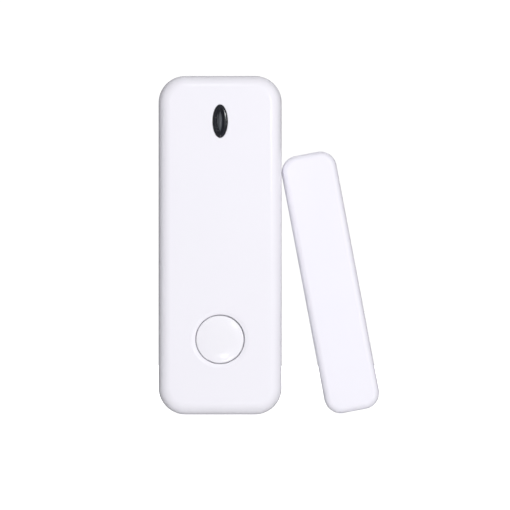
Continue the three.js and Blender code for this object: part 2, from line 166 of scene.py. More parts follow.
LENS_X, LENS_Y = middle("light_guide")
LENS_HALF = (2.1, 4.75)
LENS_GAP = 0.12
LENS_FLANGE = 1.1
GUIDE_HALF = (0.63, 3.4)
GUIDE_CUT_HALF = (0.69, 3.5)
BUTTON_X, BUTTON_Y = middle("button_cap")
BUTTON_RADIUS = 7
BUTTON_GAP = 0.2
BUTTON_FLANGE = 8.2
BUTTON_OFF = (-0.07, -0.03)  # the cap sits a little low and left in its opening, within its fit

BOARD_X, BOARD_Y, BOARD_Z = box_mm("main_board")
DECK = BOARD_Z[1]
SCREWS = [middle("board_screw_upper"), middle("board_screw_lower")]
PINS = [(-x, y) for x, y in SCREWS]
PIN_RADIUS = 0.9
BATTERY_X, BATTERY_Y, BATTERY_Z = box_mm("battery")
BATTERY_RADIUS = span(BATTERY_Z) / 2
BATTERY_AXIS = (sum(BATTERY_Y) / 2, sum(BATTERY_Z) / 2)
REED = (*middle("reed_glass"), sum(box_mm("reed_glass")[2]) / 2)

# ---------- solids ----------


def skinned(rings, closed=False):
    """A mesh over rings of points. Its two ends are capped, or else its last ring joins its first."""
    bm = bmesh.new()
    rings = [[bm.verts.new(point) for point in ring] for ring in rings]
    for near, far in zip(rings, rings[1:] + (rings[:1] if closed else [])):
        for i in range(len(near)):
            j = (i + 1) % len(near)
            bm.faces.new((near[i], near[j], far[j], far[i]))
    if not closed:
        bm.faces.new(rings[0][::-1])
        bm.faces.new(rings[-1])
    return bm


def solid(bm):
    """A new object with this mesh. Its name is a stand-in until piece() names it."""
    mesh = bpy.data.meshes.new("scratch")
    bm.to_mesh(mesh)
    bm.free()
    obj = bpy.data.objects.new("scratch", mesh)
    scene.collection.objects.link(obj)
    return obj


def flat_rings(levels):
    return [[(x, y, z) for x, y in outline] for outline, z in levels]


def loft(levels):
    """A closed solid through outlines at heights. The heights may turn back, for a cup or a hollow cover."""
    return solid(skinned(flat_rings(levels)))


def hoop(outer, inner, low, high):
    """A flat ring between two outlines that have the same number of points."""
    return solid(skinned(flat_rings([(outer, low), (outer, high), (inner, high), (inner, low)]), closed=True))


def stack(outline_at, steps):
    """The levels of a loft from (inset, height) steps. outline_at(inset) draws the outline."""
    return [(outline_at(inset), z) for inset, z in steps]


def prism(outline, low, high):
    return loft([(outline, low), (outline, high)])


def softened(outline_at, low, high, edge, steps=3):
    """A solid whose lower and upper edges are rounded."""
    edge_round = quarter(edge, steps)
    rise = [(inset, low + up) for inset, up in reversed(edge_round)]
    fall = [(inset, high - down) for inset, down in edge_round]
    return loft(stack(outline_at, rise + fall))


def block(xs, ys, zs, edge, corner=0.1):
    """A box with rounded corners and edges, between the places given in any order."""
    (x0, x1), (y0, y1), (z0, z1) = sorted(xs), sorted(ys), sorted(zs)
    corner = max(corner, edge + 0.01)
    outline_at = rounded_at(x1 - x0, y1 - y0, corner, 3, (x0 + x1) / 2, (y0 + y1) / 2)
    return softened(outline_at, z0, z1, edge, 2)


def turned(profile, cx=0, cy=0, sides=48):
    """A turned piece from (radius, height) points."""
    return loft(stack(lambda radius: round_at(radius, cx, cy, sides), profile))


def sweep(path, section, side=None):
    """A closed bar of one section along a path, without twist. side is the section's first direction."""
    path = [Vector(p) for p in path]
    last = len(path) - 1
    tangents = [(path[min(i + 1, last)] - path[max(i - 1, 0)]).normalized() for i in range(len(path))]
    side = Vector(side) if side else tangents[0].orthogonal().normalized()
    rings = []
    for i, (point, tangent) in enumerate(zip(path, tangents)):
        if i:
            side = tangents[i - 1].rotation_difference(tangent) @ side
        side = (side - tangent * side.dot(tangent)).normalized()
        up = side.cross(tangent)
        rings.append([point + side * u + up * v for u, v in section])
    bm = skinned(rings)
    bmesh.ops.recalc_face_normals(bm, faces=bm.faces)
    return solid(bm)


def tube(path, radius, sides):
    return sweep(path, round_at(radius, sides=sides))


def bent_leg(path, side, y, width, thickness, corner=0.05):
    """A flat leg across a part, from (x, z) points, towards one side."""
    points = [(side * x, y, z) for x, z in path]
    return sweep(points, rounded(width, thickness, corner, 2), (0, 1, 0))


def ribbon(path, width, low, high):
    """A flat strip along a path of (x, y) points, with mitred bends."""
    points = [Vector(p) for p in path]
    left, right = [], []
    for i, p in enumerate(points):
        before = (p - points[i - 1]).normalized() if i else (points[1] - p).normalized()
        after = (points[i + 1] - p).normalized() if i < len(points) - 1 else before
        along = (before + after).normalized()
        normal = Vector((-along.y, along.x))
        reach = width / 2 / max(0.5, normal.dot(Vector((-before.y, before.x))))
        left.append(p + normal * reach)
        right.append(p - normal * reach)
    outline = [tuple(p) for p in right + left[::-1]]
    return prism(outline, low, high)


def boolean(base, operation, tools):
    for tool in tools:
        step = base.modifiers.new("step", "BOOLEAN")
        step.operation, step.solver, step.object = operation, "MANIFOLD", tool
    graph = bpy.context.evaluated_depsgraph_get()
    mesh = bpy.data.meshes.new_from_object(base.evaluated_get(graph), depsgraph=graph)
    base.modifiers.clear()
    base.data = mesh
    for tool in tools:
        bpy.data.objects.remove(tool)
    return base


def union(base, *tools):
    return boolean(base, "UNION", tools)


def cut(base, *tools):
    return boolean(base, "DIFFERENCE", tools)


def together(*parts):
    """Several closed solids that don't meet, as one object."""
    bm = bmesh.new()
    for part in parts:
        bm.from_mesh(part.data)
        bpy.data.objects.remove(part)
    return solid(bm)


def moved(obj, x, y, z, turn=0, axis="Z"):
    obj.data.transform(Matrix.Translation((x, y, z)) @ Matrix.Rotation(turn, 4, axis))
    return obj


def piece(obj, name, node, looks, body="sensor_base", up=STAND_UP, sharp=32):
    """Names a finished solid, stands it up, shades it, ties it to its body and hides the CAD node that it
    stands for.
    """
    mesh = obj.data
    obj.name = mesh.name = name
    mesh.transform(up)
    mesh.materials.clear()
    for look in looks if isinstance(looks, list) else [looks]:
        mesh.materials.append(look)
    mesh.shade_smooth()
    mesh.set_sharp_from_angle(angle=radians(sharp))
    weigh = obj.modifiers.new("even_shading", "WEIGHTED_NORMAL")
    weigh.keep_sharp = True
    weigh.weight = 100
    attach(obj, body)
    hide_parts(node)
    return obj


def mounted(obj, name, node, look, body="sensor_base"):
    """A piece that was drawn round the origin, set down on the board at its node's place."""
    return piece(moved(obj, *middle(node), DECK), name, node, look, body)


# ---------- materials ----------


class Nodes:
    """The node tree of a material or a world, with helpers that add to it."""

    def __init__(self, owner):
        owner.use_nodes = True
        self.tree = owner.node_tree

    def plug(self, sockets, values):
        for socket, value in zip(sockets, values):
            if isinstance(value, bpy.types.NodeSocket):
                self.tree.links.new(value, socket)
            else:
                socket.default_value = value

    def set(self, node, **inputs):
        self.plug([node.inputs[label.replace("_", " ")] for label in inputs], inputs.values())

    def add(self, kind, *values, **inputs):
        """A new node, with values for its first inputs, and others by name."""
        node = self.tree.nodes.new("ShaderNode" + kind)
        self.plug(node.inputs, values)
        self.set(node, **inputs)
        return node

    def maths(self, operation, *values, kind="Math"):
        node = self.add(kind)
        node.operation = operation
        self.plug(node.inputs, values)
        return next(out for out in node.outputs if out.enabled)


class Look(Nodes):
    """A material on the Principled shader, with helpers for procedural patterns."""

    def __init__(self, name, colour, roughness, metallic=0.0, **fixed):
        self.material = bpy.data.materials.new(name)
        super().__init__(self.material)
        self.shader = self.tree.nodes["Principled BSDF"]
        self.colour = colour
        self.set(self.shader, Base_Color=(*colour, 1), Roughness=roughness, Metallic=metallic, **fixed)
        self.place = self.add("TexCoord").outputs["Object"]

    def noise(self, scale, detail, roughness=0.55, stretch=None):
        """A noise pattern. stretch scales the object's axes under it, for streaks and grain."""
        place = self.place
        if stretch:
            place = self.add("Mapping", Vector=place, Scale=stretch).outputs["Vector"]
        node = self.add("TexNoise", Vector=place, Scale=scale, Detail=detail, Roughness=roughness)
        return node.outputs["Fac"]

    def cells(self, scale):
        return self.add("TexVoronoi", Vector=self.place, Scale=scale).outputs["Distance"]

    def along(self, axis):
        return self.add("SeparateXYZ", Vector=self.place).outputs[axis]

    def edges(self, low=0.52, high=0.62):
        """1 on outer edges and 0 on flat faces."""
        return self.remap(self.add("NewGeometry").outputs["Pointiness"], low, high, 0, 1)

    def remap(self, value, low, high, to_low, to_high):
        ends = dict(From_Min=low, From_Max=high, To_Min=to_low, To_Max=to_high)
        return self.add("MapRange", Value=value, **ends).outputs["Result"]

    def blend(self, factor, first, second):
        node = self.add("Mix")
        node.data_type = "RGBA"
        colours = [s for s in node.inputs if s.type == "RGBA"]
        self.plug((node.inputs[0], *colours), (factor, first, second))
        return next(s for s in node.outputs if s.type == "RGBA")

    def tone(self, share):
        """The material's colour, lighter or darker by a share."""
        return (*(min(1.0, c * (1 + share)) for c in self.colour), 1)

    def tones(self, pattern, first, second):
        """The material's colour, from one tone to another over a pattern."""
        return self.blend(pattern, self.tone(first), self.tone(second))

    def paint(self, colour):
        self.set(self.shader, Base_Color=colour)

    def polish(self, roughness):
        self.set(self.shader, Roughness=roughness)

    def gloss(self, pattern, low, high):
        """Roughness from low to high over a noise pattern."""
        self.polish(self.remap(pattern, 0.3, 0.7, low, high))

    def finished(self, *layers):
        """The finished material, with bump from (height, depth in metres) layers."""
        normal = None
        for height, depth in layers:
            bump = self.add("Bump", Strength=1.0, Distance=depth, Height=height)
            if normal:
                self.set(bump, Normal=normal)
            normal = bump.outputs["Normal"]
        self.set(self.shader, Normal=normal)
        return self.material


def moulded(name, colour, roughness, mottle, peel=2e-6, grain=0.0, wear=0.03, **fixed):
    """Moulded plastic: cloudy colour, uneven gloss, a skin of the mould's own grain, and paler edges."""
    look = Look(name, colour, roughness, **fixed)
    base = look.tones(look.noise(70, 2), -mottle, mottle)
    look.paint(look.blend(look.maths("MULTIPLY", look.edges(), wear * 8), base, look.tone(wear)))
    gloss = look.remap(look.noise(240, 4), 0.3, 0.7, roughness * 0.85, roughness * 1.15)
    smears = look.remap(look.noise(45, 2, stretch=(1, 1, 0.35)), 0.45, 0.7, 0, roughness * 0.2)
    look.polish(look.maths("ADD", gloss, smears))
    layers = [(look.noise(420, 1), peel)]
    if grain:
        layers.append((look.noise(5200, 3), grain))
    return look.finished(*layers)


def metal(name, colour, roughness, along=(1, 1, 1), **fixed):
    """Plated or drawn metal: fine lines along its length, dull patches and bright edges."""
    look = Look(name, colour, roughness, metallic=1.0, **fixed)
    lines = look.noise(3500, 2, stretch=along)
    tarnish = look.noise(500, 4)
    look.paint(look.blend(look.edges(), look.tones(tarnish, -0.14, 0.06), look.tone(0.2)))
    rough = look.remap(tarnish, 0.3, 0.75, roughness * 0.8, roughness * 1.35)
    look.polish(look.maths("ADD", rough, look.remap(lines, 0.3, 0.7, -0.04, 0.05)))
    return look.finished((lines, 3e-6))


def foam():
    look = Look("foam", (0.80, 0.80, 0.78), 0.92)
    pores = look.cells(2600)
    # Painted shade: the pits of the pores, where the bump sinks, are painted darker.
    look.paint(look.tones(look.remap(pores, 0.05, 0.5, 1, 0), 0.05, -0.22))
    return look.finished((pores, 6e-5), (look.noise(900, 3), 3e-5))


def liner():
    """The glazed paper that covers the glue on a tape pad."""
    look = Look("liner_paper", (0.86, 0.83, 0.72), 0.42)
    fibres = look.noise(2200, 5, 0.7, (1, 1, 0.3))
    look.paint(look.tones(look.maths("MULTIPLY", fibres, look.noise(160, 3)), 0.05, -0.1))
    look.gloss(fibres, 0.34, 0.52)
    return look.finished((fibres, 8e-6), (look.noise(60, 2), 6e-5))


def laminate_mask():
    """Green solder mask over a glass weave."""
    look = Look("solder_mask", (0.016, 0.115, 0.045), 0.32)
    warp = look.noise(900, 1, stretch=(1, 1, 0.08))
    weft = look.noise(900, 1, stretch=(0.08, 1, 1))
    weave = look.maths("ADD", warp, weft)
    cloud = look.noise(120, 3)
    base = look.tones(look.remap(weave, 0.8, 1.2, 0, 1), -0.18, 0.15)
    look.paint(look.blend(look.remap(cloud, 0.35, 0.7, 0, 0.5), base, (0.022, 0.16, 0.06, 1)))
    look.gloss(cloud, 0.24, 0.4)
    return look.finished((weave, 1.2e-5))


def laminate_edge():
    look = Look("laminate_edge", (0.52, 0.44, 0.22), 0.75)
    plies = look.noise(4200, 3, stretch=(0.15, 1, 0.15))
    look.paint(look.tones(plies, -0.3, 0.2))
    return look.finished((plies, 4e-5))


def mask_over_copper():
    look = Look("mask_over_copper", (0.035, 0.22, 0.075), 0.3)
    cloud = look.noise(700, 3)
    look.paint(look.tones(cloud, -0.12, 0.14))
    look.gloss(cloud, 0.22, 0.36)
    return look.finished((look.noise(2500, 2), 4e-6))


def board_print():
    look = Look("board_print", (0.82, 0.82, 0.78), 0.6)
    worn = look.noise(3000, 4)
    look.paint(look.blend(look.remap(worn, 0.35, 0.6, 0.35, 0), look.tone(0.05), (0.2, 0.33, 0.22, 1)))
    return look.finished((worn, 6e-6))


def solder():
    look = Look("solder", (0.66, 0.67, 0.69), 0.24, metallic=1.0)
    frost = look.noise(2600, 4)
    look.paint(look.tones(frost, -0.2, 0.12))
    look.gloss(frost, 0.16, 0.42)
    return look.finished((look.noise(1300, 3), 1.6e-5))


def clear(name, tint, ior):
    """Clear glass or epoxy, with faint draw lines."""
    look = Look(name, tint, 0.03, Transmission_Weight=1.0, IOR=ior)
    drawn = look.noise(1400, 2, stretch=(1, 1, 0.06))
    look.polish(look.remap(drawn, 0.35, 0.7, 0.015, 0.06))
    return look.finished((drawn, 2.5e-6))


def smoked():
    """Smoked polycarbonate: near black, polished, with a little haze in its thickness."""
    look = Look("smoked_polycarbonate", (0.0065, 0.0077, 0.0145), 0.07, Specular_IOR_Level=0.4)
    look.paint(look.blend(look.noise(600, 3), look.tone(-0.25), (0.010, 0.011, 0.018, 1)))
    look.gloss(look.noise(900, 3), 0.04, 0.08)
    return look.finished((look.noise(380, 1), 2.5e-6))


def light_pipe():
    """The grey light guide: streaked along its length, with painted highlights that make it paler at its
    sides and its lower end.
    """
    look = Look("light_pipe", (0.042, 0.046, 0.056), 0.3, Coat_Weight=0.15, Coat_Roughness=0.12)
    streaks = look.noise(2200, 3, stretch=(1, 1, 0.09))
    low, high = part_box("light_guide")
    # Painted highlight: the lower end of the guide is painted paler.
    lower_end_highlight = look.remap(look.along("Z"), low.z, high.z, 0.55, 0.0)
    # Painted highlight: both sides of the guide are painted paler than its middle.
    off_middle = look.maths("ABSOLUTE", look.maths("SUBTRACT", look.along("X"), LENS_X * MM))
    rim = look.remap(off_middle, 0.22 * MM, 0.53 * MM, 0, 1)
    base = look.blend(lower_end_highlight, look.tones(streaks, -0.32, 0.3), look.tone(0.4))
    look.paint(look.blend(rim, base, look.tone(0.7)))
    look.gloss(streaks, 0.22, 0.42)
    return look.finished((streaks, 1.2e-5))


def left_part(look, node, share, blur):
    """1 on the left part of a node, up to a share of its width, and 0 on the rest."""
    low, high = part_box(node)
    edge = low.x + (high.x - low.x) * share
    return look.remap(look.along("X"), edge - blur, edge + blur, 1, 0)


def battery_wrap():
    """A printed foil sleeve with a dark band round its negative end and scuffs."""
    look = Look("battery_wrap", (0.72, 0.47, 0.10), 0.3, metallic=0.75)
    dark = left_part(look, "battery", 0.3, 1e-5)
    scuffs = look.noise(700, 5, 0.7, (0.3, 1, 1))
    band = look.blend(scuffs, (0.02, 0.021, 0.024, 1), (0.05, 0.05, 0.055, 1))
    look.paint(look.blend(dark, look.tones(scuffs, -0.16, 0.1), band))
    look.gloss(scuffs, 0.2, 0.42)
    return look.finished((scuffs, 5e-6), (look.noise(260, 2), 2e-5))


def can_sleeve():
    """The capacitor's shrunk sleeve, black with a plain pale stripe down its negative side."""
    look = Look("can_sleeve", (0.018, 0.019, 0.024), 0.3, Coat_Weight=0.3, Coat_Roughness=0.15)
    stripe = left_part(look, "storage_capacitor", 0.13, 2e-5)
    cloud = look.noise(900, 3)
    look.paint(look.blend(stripe, look.tones(cloud, -0.2, 0.4), (0.55, 0.56, 0.58, 1)))
    look.gloss(cloud, 0.22, 0.4)
    return look.finished((look.noise(520, 2), 1.2e-5))


def sintered():
    """Ferrite: dull, dark and granular, paler where its edges are chipped."""
    look = Look("ferrite", (0.036, 0.036, 0.040), 0.62)
    grain = look.noise(2600, 6, 0.75)
    chips = look.maths("MULTIPLY", look.edges(0.5, 0.6), look.noise(900, 4))
    look.paint(look.blend(chips, look.tones(grain, -0.35, 0.5), (0.14, 0.14, 0.15, 1)))
    look.gloss(grain, 0.5, 0.75)
    return look.finished((grain, 3e-5), (look.cells(420), 2e-5))


GLOSS_WHITE = moulded(
    "gloss_white_abs", (0.8095, 0.7962, 0.8480), 0.11, mottle=0.006, peel=1.5e-6, Specular_IOR_Level=0.28
)
SATIN_WHITE = moulded("satin_white_abs", (0.800, 0.788, 0.850), 0.42, mottle=0.012, grain=4e-6)
MAGNET_WHITE = moulded("magnet_white_abs", (0.8045, 0.7906, 0.8570), 0.36, mottle=0.008, grain=2.5e-6)
BUTTON_WHITE = moulded(
    "button_white", (0.8220, 0.8110, 0.8563), 0.12, mottle=0.006, peel=1.5e-6, Coat_Weight=0.25
)
BLACK_PLASTIC = moulded("black_nylon", (0.022, 0.022, 0.025), 0.45, mottle=0.2, grain=6e-6, wear=0.5)
CHIP_EPOXY = moulded("chip_epoxy", (0.030, 0.031, 0.034), 0.55, mottle=0.25, grain=9e-6, wear=0.4)
RESISTOR_BODY = moulded("resistor_body", (0.02, 0.02, 0.022), 0.3, mottle=0.2, grain=3e-6, wear=0.3)
CERAMIC = moulded("capacitor_ceramic", (0.36, 0.25, 0.15), 0.5, mottle=0.15, grain=5e-6, wear=0.2)
RUBBER_BUNG = moulded("rubber_bung", (0.03, 0.03, 0.03), 0.7, mottle=0.2, grain=8e-6)
TINNED = metal("tinned_steel", (0.66, 0.67, 0.69), 0.26)
PRESSED_STEEL = metal("pressed_steel", (0.62, 0.63, 0.65), 0.3, along=(0.05, 1, 1))
NICKEL_STRIP = metal("nickel_strip", (0.70, 0.69, 0.66), 0.22, along=(1, 1, 0.05))
ALUMINIUM_CAN = metal("can_aluminium", (0.74, 0.75, 0.77), 0.28)
SPRING_WIRE = metal("spring_wire", (0.68, 0.68, 0.68), 0.2)
ENAMELLED = metal("enamelled_copper", (0.62, 0.27, 0.12), 0.24, Coat_Weight=0.7, Coat_Roughness=0.08)
GOLD_WIRE = metal("gold_wire", (0.80, 0.56, 0.24), 0.22)
GLASS = clear("reed_glass_wall", (0.90, 0.97, 0.93), 1.5)
EPOXY = clear("led_epoxy", (0.93, 0.96, 0.99), 1.52)
FOAM, LINER = foam(), liner()
MASK, LAMINATE, TRACE = laminate_mask(), laminate_edge(), mask_over_copper()
PRINT, SOLDER = board_print(), solder()
SMOKED, LIGHT_PIPE = smoked(), light_pipe()
WRAP, SLEEVE, FERRITE = battery_wrap(), can_sleeve(), sintered()

# ---------- case parts shared by the two units ----------


def cover_levels(case, ceiling_round):
    """A hollow cover, from its ceiling down the inside, over the rim, up the outside and round the front."""
    low = case.seam + SEAM_GAP
    inside = [(case.wall + inset, case.ceiling - down) for inset, down in quarter(ceiling_round, 5)[::-1]]
    inside += [(case.wall, low + LIP), (case.wall - LIP, low)]
    outside = [(LIP, low), (LIP * 0.3, low + LIP * 0.3), (0, low + LIP)]
    outside += [(inset, case.depth - down) for inset, down in quarter(case.fillet, 16)]
    return stack(case.within, inside) + stack(case.outside, outside)


def tray_levels(case, back_round):
    """A tray: its rounded back edge, the seam, the tongue that goes into the cover, and the floor inside."""
    outer = case.wall + TONGUE_OUTER
    inner = outer + TONGUE_WALL
    top = case.seam + TONGUE_REACH
    back = [(inset, PAD_THICKNESS + up) for inset, up in quarter(back_round, 5)[::-1]]
    back += [(0, case.seam - LIP), (LIP * 0.3, case.seam - LIP * 0.3), (LIP, case.seam)]
    tongue = [(outer, case.seam), (outer, top - 0.3), (outer + 0.25, top)]
    tongue += [(inner - LIP, top), (inner, top - LIP), (inner, case.floor + 0.4)]
    tongue += [(inner + 0.12, case.floor + 0.12), (inner + 0.4, case.floor)]
    return stack(case.outside, back) + stack(case.within, tongue)


def mould_marks(radius, low, high, sides, spots):
    """Plain round tools that cut ejector marks or holes at some spots."""
    return [turned([(radius, low), (radius, high)], x, y, sides) for x, y in spots]


def catches(xs, zs, reach, edge, spots):
    """Small ribs inside a cover's long walls, for (side, y) spots."""
    return [block([side * x for x in xs], (y - reach, y + reach), zs, edge, 0.08) for side, y in spots]


def tape_pad(node, body, name, up, width, length, corner):
    """Foam tape in two layers: the soft foam, and the paper liner over its outer glue."""
    liner_thickness = 0.14
    sag = 0.12  # the foam's sides pull in at half its thickness
    outline_at = rounded_at(width, length, corner, 8)
    layers = [(0, liner_thickness), (sag * 0.7, 0.35), (sag, 0.6), (sag * 0.7, 0.82), (0.04, PAD_THICKNESS)]
    soft = piece(loft(stack(outline_at, layers)), name + "_foam", node, FOAM, body, up)
    paper = softened(outline_at, 0, liner_thickness - 0.01, 0.03, 2)
    slit = block((-width, width), (length * 0.31, length * 0.31 + 0.12), (-0.5, 0.07), 0.01, 0.02)
    piece(cut(paper, slit), name + "_liner", node, LINER, body, up)


# ---------- the sensor's case ----------


def lens_outline(grow):
    return oval(LENS_HALF[0] + grow, LENS_HALF[1] + grow, LENS_X, LENS_Y, 72)


def guide_outline(half_x, half_y, steps=20):
    """A pointed oval in the middle of the lens: two equal arcs that meet above and below."""
    radius = (half_x**2 + half_y**2) / (2 * half_x)
    half = asin(half_y / radius)
    points = []
    for side in (1, -1):
        for i in range(steps):
            angle = half * (2 * i / steps - 1)
            x = half_x - radius + radius * cos(angle)
            points.append((LENS_X + side * x, LENS_Y + side * radius * sin(angle)))
    return points


def front_cover():
    front, ceiling = SENSOR.depth, SENSOR.ceiling
    seat = LENS_GAP + LENS_FLANGE
    hole = BUTTON_RADIUS + BUTTON_GAP
    guide = BUTTON_FLANGE + BUTTON_GAP
    shell = union(
        loft(cover_levels(SENSOR, 1.6)),
        prism(lens_outline(seat + 0.8), ceiling - 1, ceiling + 0.3),
        prism(round_at(guide + 1, BUTTON_X, BUTTON_Y, 64), ceiling - 1.6, ceiling + 0.3),
    )
    opening = [(seat, ceiling - 3), (seat, ceiling), (LENS_GAP, ceiling)]
    opening_round = 0.28
    opening += [(LENS_GAP + inset, front - down) for inset, down in quarter(opening_round, 6)]
    opening.append((opening[-1][0], front + 1))
    # The front dips a little towards the button, and its edge is rounded: (how far out, how far down).
    dip = [
        (0, 0.56), (0.02, 0.45), (0.08, 0.36), (0.17, 0.3), (0.3, 0.25), (0.6, 0.165), (0.9, 0.084),
        (1.08, 0.038), (1.24, 0.009), (1.4, 0), (1.4, -1),
    ]
    well = [(guide, ceiling - 4), (guide, ceiling), (hole, ceiling)]
    well += [(hole + out, front - down) for out, down in dip]
    spots = [(x, y) for x in (-10, 10) for y in (-38, -8, 12, 42)]
    shell = cut(
        shell,
        loft(stack(lens_outline, opening)),
        turned(well, BUTTON_X, BUTTON_Y, 96),
        *mould_marks(1.4, ceiling - 0.5, ceiling + 0.06, 24, spots),
    )
    spots = [(side, y) for side in SIDES for y in (-22, 24)]
    return union(shell, *catches((16.3, 15.95), (6.8, 7.5), 3, 0.06, spots))


def battery_room(x0, x1):
    """The room that the cell takes, with its fit, from x0 to x1."""
    radius = BATTERY_RADIUS + 0.2
    return moved(turned([(radius, x0), (radius, x1)], sides=64), 0, *BATTERY_AXIS, pi / 2, "Y")


def rear_housing():
    floor, board_back = SENSOR.floor, BOARD_Z[0]
    sunk = floor - 0.2  # posts and walls start inside the floor
    post = [(2.9, sunk), (2.75, floor + 0.1), (2.4, floor + 0.5), (2.3, board_back)]
    pin = [(PIN_RADIUS, board_back - 0.3), (PIN_RADIUS, DECK + 0.25), (0.6, DECK + 0.5)]
    posts = [turned(post, x, y, 40) for x, y in SCREWS + PINS]
    pins = [turned(pin, x, y, 28) for x, y in PINS]
    divider = block((-14.9, 14.9), (BOARD_Y[0] - 1.1, BOARD_Y[0] - 0.3), (sunk, board_back), 0.06)
    axis_y, axis_z = BATTERY_AXIS
    half = BATTERY_RADIUS + 0.1
    saddles = []
    for x in (-7, 8):
        wall = block((x - 0.6, x + 0.6), (axis_y - half, axis_y + half), (sunk, axis_z - 1), 0.06)
        saddles.append(cut(wall, battery_room(x - 2, x + 2)))
    tray = union(loft(tray_levels(SENSOR, 0.7)), *posts, *pins, divider, *saddles)
    pilots = mould_marks(1.05, floor, board_back + 1, 32, SCREWS)
    slots = [
        block((side * 14.65, side * 16.2), (axis_y - 3.6, axis_y + 3.6), (floor, 8), 0.01, 0.3)
        for side in SIDES
    ]
    end = -SENSOR.length / 2
    notch = block((-4, 4), (end - 1, end + 1.2), (SENSOR.seam - 0.9, SENSOR.seam + 1), 0.1, 0.5)
    spots = [(x, y) for x in (-14.5, 14.5) for y in (-36, 0, 36)]
    marks = mould_marks(1.6, 0, PAD_THICKNESS + 0.06, 28, spots)
    return cut(tray, *pilots, *slots, notch, battery_room(BATTERY_X[0] - 0.3, BATTERY_X[1]), *marks)


# ---------- what the front cover carries ----------


def led_lens():
    low, seat, top = SENSOR.ceiling - 1, SENSOR.ceiling - 0.02, box_mm("led_lens")[2][1]
    flange = [(LENS_FLANGE, low), (LENS_FLANGE, seat), (0, seat)]
    rim = [(-inset, top - 0.08 - down) for inset, down in quarter(0.3, 6)[:-1]]
    facet = [(-0.3, top - 0.078), (-0.42, top - 0.06), (-0.8, top), (-0.86, top - 0.01), (-0.93, top - 0.06)]
    valley = [(-1.0, top - 0.16), (-1.08, top - 0.28), (-1.2, top - 0.33), (-1.3, top - 0.34)]
    body = loft(stack(lens_outline, flange + rim + facet + valley))
    return cut(body, prism(guide_outline(*GUIDE_CUT_HALF), low - 1, top + 1))


def light_guide():
    """A foot under the lens and a blade up to its front, whose outline shrinks by shares into a crown."""
    low = box_mm("light_guide")[2][0]
    foot_top = SENSOR.ceiling - 1.1
    foot = softened(lambda inset: oval(1.5 - inset, 3.8 - inset, LENS_X, LENS_Y, 48), low, foot_top, 0.1)
    crown = [(1, -0.28), (0.97, -0.2), (0.88, -0.12), (0.7, -0.03), (0.45, 0.03), (0.2, 0.05), (0.06, 0.055)]
    steps = [(1, low + 0.3)] + [(share, SENSOR.depth + rise) for share, rise in crown]
    half_x, half_y = GUIDE_HALF
    return union(foot, loft(stack(lambda share: guide_outline(half_x * share, half_y * share), steps)))


def button_cap():
    low, top = box_mm("button_cap")[2]
    flange_low, flange_top = SENSOR.ceiling - 1, SENSOR.ceiling - 0.1
    edge, edge_drop = 0.4, 0.56  # width and height of the rounded edge
    crown_drop = 0.233

    def drop(radius):
        """How far the dome is under its middle: a flat crown that turns down quickly at its edge."""
        over = max(0, (radius - BUTTON_RADIUS + edge) / edge)
        return crown_drop * (radius / BUTTON_RADIUS) ** 3.9 + edge_drop * (1 - sqrt(1 - over * over))

    ceiling = top - 1.3
    skirt = 5.7
    profile = [
        (1.5, low), (1.8, low + 0.2), (1.8, ceiling - 0.3), (2.1, ceiling), (5.4, ceiling - 0.2),
        (skirt, ceiling - 0.5), (skirt, flange_low), (BUTTON_FLANGE - 0.08, flange_low),
        (BUTTON_FLANGE, flange_low + 0.08), (BUTTON_FLANGE, flange_top - 0.08),
        (BUTTON_FLANGE - 0.08, flange_top), (BUTTON_RADIUS, flange_top),
    ]
    rim = [BUTTON_RADIUS - inset for inset, _ in quarter(edge, 10)[:-1]]
    crown = [6.6, 6.3, 6, 5.6, 5.2, 4.7, 4.2, 3.5, 2.6, 1.6, 0.5]
    profile += [(radius, top - drop(radius)) for radius in rim + crown]
    return turned(profile, BUTTON_X + BUTTON_OFF[0], BUTTON_Y + BUTTON_OFF[1], 96)


piece(front_cover(), "cover_shell", "front_cover", GLOSS_WHITE, "sensor_cover", sharp=28)
piece(rear_housing(), "housing_tray", "rear_housing", SATIN_WHITE)
tape_pad("sensor_tape_pad", "sensor_base", "sensor_pad", STAND_UP, width=26, length=82, corner=3)
piece(led_lens(), "lens_window", "led_lens", SMOKED, "sensor_cover", sharp=40)
piece(light_guide(), "lens_light_guide", "light_guide", LIGHT_PIPE, "sensor_cover", sharp=40)
piece(button_cap(), "button_dome", "button_cap", BUTTON_WHITE, "button")

# ---------- the magnet unit ----------


def magnet_base():
    floor = MAGNET.floor
    stops = [
        block((-4, 4), (side * 20.15, side * 21.35), (floor - 0.2, floor + 3.4), 0.1, 0.2) for side in SIDES
    ]
    return union(loft(tray_levels(MAGNET, 0.5)), *stops)


def magnet_cover():
    marks = mould_marks(1.2, MAGNET.ceiling - 0.5, MAGNET.ceiling + 0.06, 24, [(0, -28), (0, 28)])
    spots = [(side, y) for side in SIDES for y in (-22, 22)]
    shell = cut(loft(cover_levels(MAGNET, 1.2)), *marks)
    return union(shell, *catches((6.8, 6.5), (5.0, 5.6), 2, 0.05, spots))


def magnet_bar():
    return block((-5, 5), (-20, 20), (MAGNET.floor, MAGNET.floor + 5), 0.18, 0.22)


cover = magnet_cover()
piece(cover, "magnet_cover_shell", "magnet_cover", MAGNET_WHITE, "magnet_front", MAGNET_UP, 28)
piece(magnet_base(), "magnet_tray", "magnet_base", MAGNET_WHITE, "magnet_unit", MAGNET_UP)
piece(magnet_bar(), "magnet_block", "magnet_bar", FERRITE, "magnet_unit", MAGNET_UP)
tape_pad("magnet_tape_pad", "magnet_unit", "magnet_pad", MAGNET_UP, width=10.6, length=66, corner=2)

# ---------- the board ----------

SUNK = 0.01  # what lies on the board starts this far under its face
RING_RISE = 0.03
PRINT_WIDTH = 0.16
PRINT_RISE = 0.035

